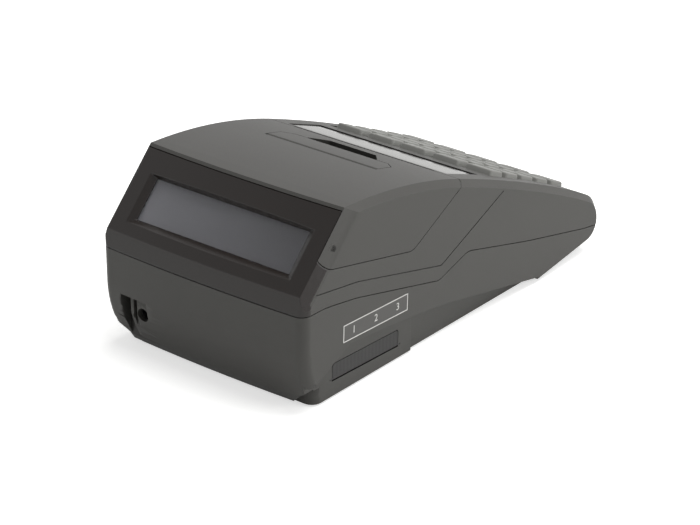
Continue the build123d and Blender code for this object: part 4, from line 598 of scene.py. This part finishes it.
def key_cap():
    """One key about the origin: a cap that stands up from the flange which holds it in the deck."""
    bm = bmesh.new()
    foot = KEY_FLANGE[1] / 2 - KEY_SKIRT
    cap = bmesh.ops.create_cube(bm, size=1.0)["verts"]
    bmesh.ops.scale(bm, vec=(*KEY_SIZE, KEY_PROUD - foot), verts=cap)
    bmesh.ops.translate(bm, vec=(0, 0, (KEY_PROUD + foot) / 2), verts=cap)
    crown = [vert for vert in cap if vert.co.z > 0]
    bmesh.ops.scale(bm, vec=(KEY_TOP[0] / KEY_SIZE[0], KEY_TOP[1] / KEY_SIZE[1], 1), verts=crown)
    upright = [edge for edge in bm.edges if abs(edge.verts[0].co.z - edge.verts[1].co.z) > KEY_PROUD]
    bmesh.ops.bevel(bm, geom=upright, offset=KEY_CORNER, affect="EDGES", segments=5, profile=0.5, material=-1)
    bmesh.ops.bevel(bm, geom=list(highest_face(bm).edges), offset=KEY_RIM, affect="EDGES", segments=4,
                    profile=0.5, material=-1)
    top = highest_face(bm)
    for shrink_x, shrink_y, sink in DISH_STEPS:
        top = bmesh.ops.extrude_discrete_faces(bm, faces=[top])["faces"][0]
        bmesh.ops.scale(bm, vec=(shrink_x, shrink_y, 1), verts=list(top.verts))
        bmesh.ops.translate(bm, vec=(0, 0, -sink), verts=list(top.verts))
    flange = bmesh.ops.create_cube(bm, size=1.0)["verts"]
    reach, thickness = KEY_FLANGE
    bmesh.ops.scale(bm, vec=(KEY_SIZE[0] + 2 * reach, KEY_SIZE[1] + 2 * reach, thickness), verts=flange)
    bmesh.ops.translate(bm, vec=(0, 0, foot), verts=flange)
    bmesh.ops.recalc_face_normals(bm, faces=bm.faces)
    return bm


LEGENDS = {(2, 1): "7", (2, 2): "8", (2, 3): "9", (3, 1): "4", (3, 2): "5", (3, 3): "6",
           (4, 1): "1", (4, 2): "2", (4, 3): "3", (5, 1): "0", (5, 2): "00"}
for joint in frame["joints"]:
    if not joint["name"].startswith("key_"):
        continue
    row, column = int(joint["child"][4]), int(joint["child"][5])
    out = -Vector(joint["axis"]).normalized()
    turn = Matrix((Vector((1, 0, 0)), out.cross(Vector((1, 0, 0))), out)).transposed().to_4x4()
    seat = Matrix.Translation(Vector(joint["pos_m"])) @ turn
    key_bm = key_cap()
    key_mesh = bpy.data.meshes.new(f"key_cap_{row}{column}")
    key_bm.to_mesh(key_mesh)
    key_bm.free()
    key_mesh.transform(seat)
    key_mesh.shade_smooth()
    key_mesh.set_sharp_from_angle(angle=math.radians(KEY_SHARP_DEGREES))
    added(f"key_cap_{row}{column}", key_mesh, joint["child"], [key_abs],
          [f"key_r{row}c{column}"])
    if (row, column) in LEGENDS:
        digits = printed_number(LEGENDS[(row, column)], KEY_NUMBER_HEIGHT)
        digits.transform(seat @ Matrix.Translation((0, 0, KEY_PROUD - DISH)))
        added(f"key_number_{row}{column}", digits, joint["child"], [legend_ink])

# Operator display: a liquid-crystal module under a flush window of smoked acrylic. The
# window is polished, so it mirrors the room when seen from low down.
polished_acrylic = moulded_plastic("polished_smoked_acrylic", "#2b2725", grain_mm=8.0, roughness=0.09,
                                   relief=0.0, edge_mm=0.4)
DISPLAY_HALF = 0.04


def liquid_crystal(name, colour, left=1.0, right=1.0):
    """An unlit display: a silvery film behind its window. Painted shade scales its tone from left at one end
    to right at the other.
    """
    material, tree = new_material(name)
    place = node(tree, "ShaderNodeTexCoord").outputs["Object"]
    grain = node(tree, "ShaderNodeTexNoise", in_Scale=2500.0, in_Detail=2.0, links=[("Vector", place)])
    across = node(tree, "ShaderNodeSeparateXYZ", links=[("Vector", place)])
    painted_shade_drift = node(tree, "ShaderNodeMapRange", in_From_Min=-DISPLAY_HALF, in_From_Max=DISPLAY_HALF,
                 in_To_Min=left, in_To_Max=right, links=[("Value", across.outputs["X"])])
    speck = node(tree, "ShaderNodeMapRange", in_To_Min=0.97, in_To_Max=1.03,
                 links=[("Value", grain.outputs["Fac"])])
    shade = node(tree, "ShaderNodeMath", operation="MULTIPLY",
                 links=[(0, painted_shade_drift.outputs[0]), (1, speck.outputs[0])])
    tone = node(tree, "ShaderNodeVectorMath", operation="SCALE", in_Vector=linear(colour)[:3],
                links=[("Scale", shade.outputs[0])])
    shader = node(tree, "ShaderNodeBsdfPrincipled", in_Roughness=0.35, in_IOR=1.5,
                  links=[("Base Color", tone.outputs[0])])
    node(tree, "ShaderNodeOutputMaterial", links=[("Surface", shader.outputs[0])])
    return material


finished("operator_lcd", liquid_crystal("silvery_display_film", "#75767a"))
joined_skin("operator_window", "root", polished_acrylic)

# Upper shell: the deck with the keypad field, the side walls and the tub for paper and
# printer, of the same grained grey ABS, screwed to the base from below.
joined_skin("upper_shell", "root", grey_abs)

# Customer display: a deep frame of polished dark brown plastic wraps the rear corner
# of the housing, with a clear grey window in a stepped recess and the module behind.
gloss_bezel = moulded_plastic("polished_brown_black_abs", "#1f1916", grain_mm=9.0, roughness=0.16, relief=0.0,
                              edge_mm=0.6)
joined_skin("customer_bezel", "root", gloss_bezel)
# The customer display's film carries painted shade: half as light at its -X end, and 1.15 times as light at
# its +X end.
finished("customer_lcd", liquid_crystal("grey_display_film", "#868689", left=0.5, right=1.15))


def clear_window(name, tint):
    """Clear polished acrylic with a slight tint."""
    material, tree = new_material(name)
    place = node(tree, "ShaderNodeTexCoord").outputs["Object"]
    dust = node(tree, "ShaderNodeTexNoise", in_Scale=120.0, in_Detail=4.0, links=[("Vector", place)])
    haze = node(tree, "ShaderNodeMapRange", in_To_Min=0.03, in_To_Max=0.1,
                links=[("Value", dust.outputs["Fac"])])
    shader = node(tree, "ShaderNodeBsdfPrincipled", in_Base_Color=linear(tint), in_IOR=1.49,
                  in_Transmission_Weight=1.0, links=[("Roughness", haze.outputs[0])])
    node(tree, "ShaderNodeOutputMaterial", links=[("Surface", shader.outputs[0])])
    return material


finished("customer_lens", clear_window("clear_polished_acrylic", "#d6d6da"))

# Paper cover: the large lid over the roll, which wraps over both sides and hinges on two
# steel stubs. They are cut flush with it, and the cut ends are finished in its grey. It
# carries the ground rubber platen on a steel shaft.
joined_skin("paper_cover", "cover", grey_abs)
STUB_END = 0.058
STUB_BEVEL = 0.0004
STUB_BORE = 0.0002
BESIDE_STUB = 0.0025
pins_low, pins_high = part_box("cover_pins")
stub_inner = min(abs(vert.co.x) for vert in frame["nodes"]["cover_pins"].data.vertices)
stub_radius = (pins_high.z - pins_low.z) / 2
stub_centre = (0.0, (pins_low.y + pins_high.y) / 2, (pins_low.z + pins_high.z) / 2)
stub_profile = [(stub_inner, STUB_BORE), (stub_inner, stub_radius), (STUB_END - STUB_BEVEL, stub_radius),
                (STUB_END, stub_radius - STUB_BEVEL), (STUB_END, STUB_BORE)]
lid_mesh = frame["nodes"]["paper_cover"].data
lid_tree = BVHTree.FromPolygons([vert.co for vert in lid_mesh.vertices],
                                [face.vertices for face in lid_mesh.polygons])
stub_bm = bmesh.new()
for hand in (-1, 1):
    stub = turned_profile("stub", [(hand * along, radius) for along, radius in stub_profile], stub_centre,
                          segments=32)
    beside = Vector(stub_centre) + Vector((hand * 2 * STUB_END, -BESIDE_STUB, 0.0))
    on_lid, lid_normal = lid_tree.ray_cast(beside, Vector((-hand, 0, 0)))[:2]
    end_bm = bmesh.new()
    end_bm.from_mesh(stub)
    cut = bmesh.ops.bisect_plane(end_bm, geom=end_bm.verts[:] + end_bm.edges[:] + end_bm.faces[:],
                                 plane_co=on_lid, plane_no=lid_normal, clear_outer=True)["geom_cut"]
    rim = [part for part in cut if isinstance(part, bmesh.types.BMEdge)]
    for face in bmesh.ops.holes_fill(end_bm, edges=rim)["faces"]:
        face.material_index = 1
    end_bm.to_mesh(stub)
    end_bm.free()
    stub_bm.from_mesh(stub)
bmesh.ops.recalc_face_normals(stub_bm, faces=stub_bm.faces)
stub_mesh = bpy.data.meshes.new("hinge_stubs")
stub_bm.to_mesh(stub_mesh)
stub_bm.free()
stub_mesh.shade_smooth()
stub_mesh.set_sharp_from_angle(angle=math.radians(TURNED_SHARP_DEGREES))
added("hinge_stubs", stub_mesh, "root", [drawn_steel, grey_abs], ["cover_pins"])
for name, body in (("platen_shaft", "platen"), ("lever_pin", "cover")):
    joined_skin(name, body, drawn_steel)
joined_skin("platen_rubber", "platen",
            moulded_plastic("black_ground_rubber", "#262524", grain_mm=0.5, roughness=0.7, relief=0.15))

# Cover lever: the trapezoid button in the lid, of the same ABS, on a pin across its
# rear edge. A finger in the scoop before it lifts its front edge.
joined_skin("cover_lever", "lever", grey_abs)

# Screws: steel pan heads. From below, four join the shells and four hold the keypad
# board, and from above four hold the main board.
finished("screws", drawn_steel)
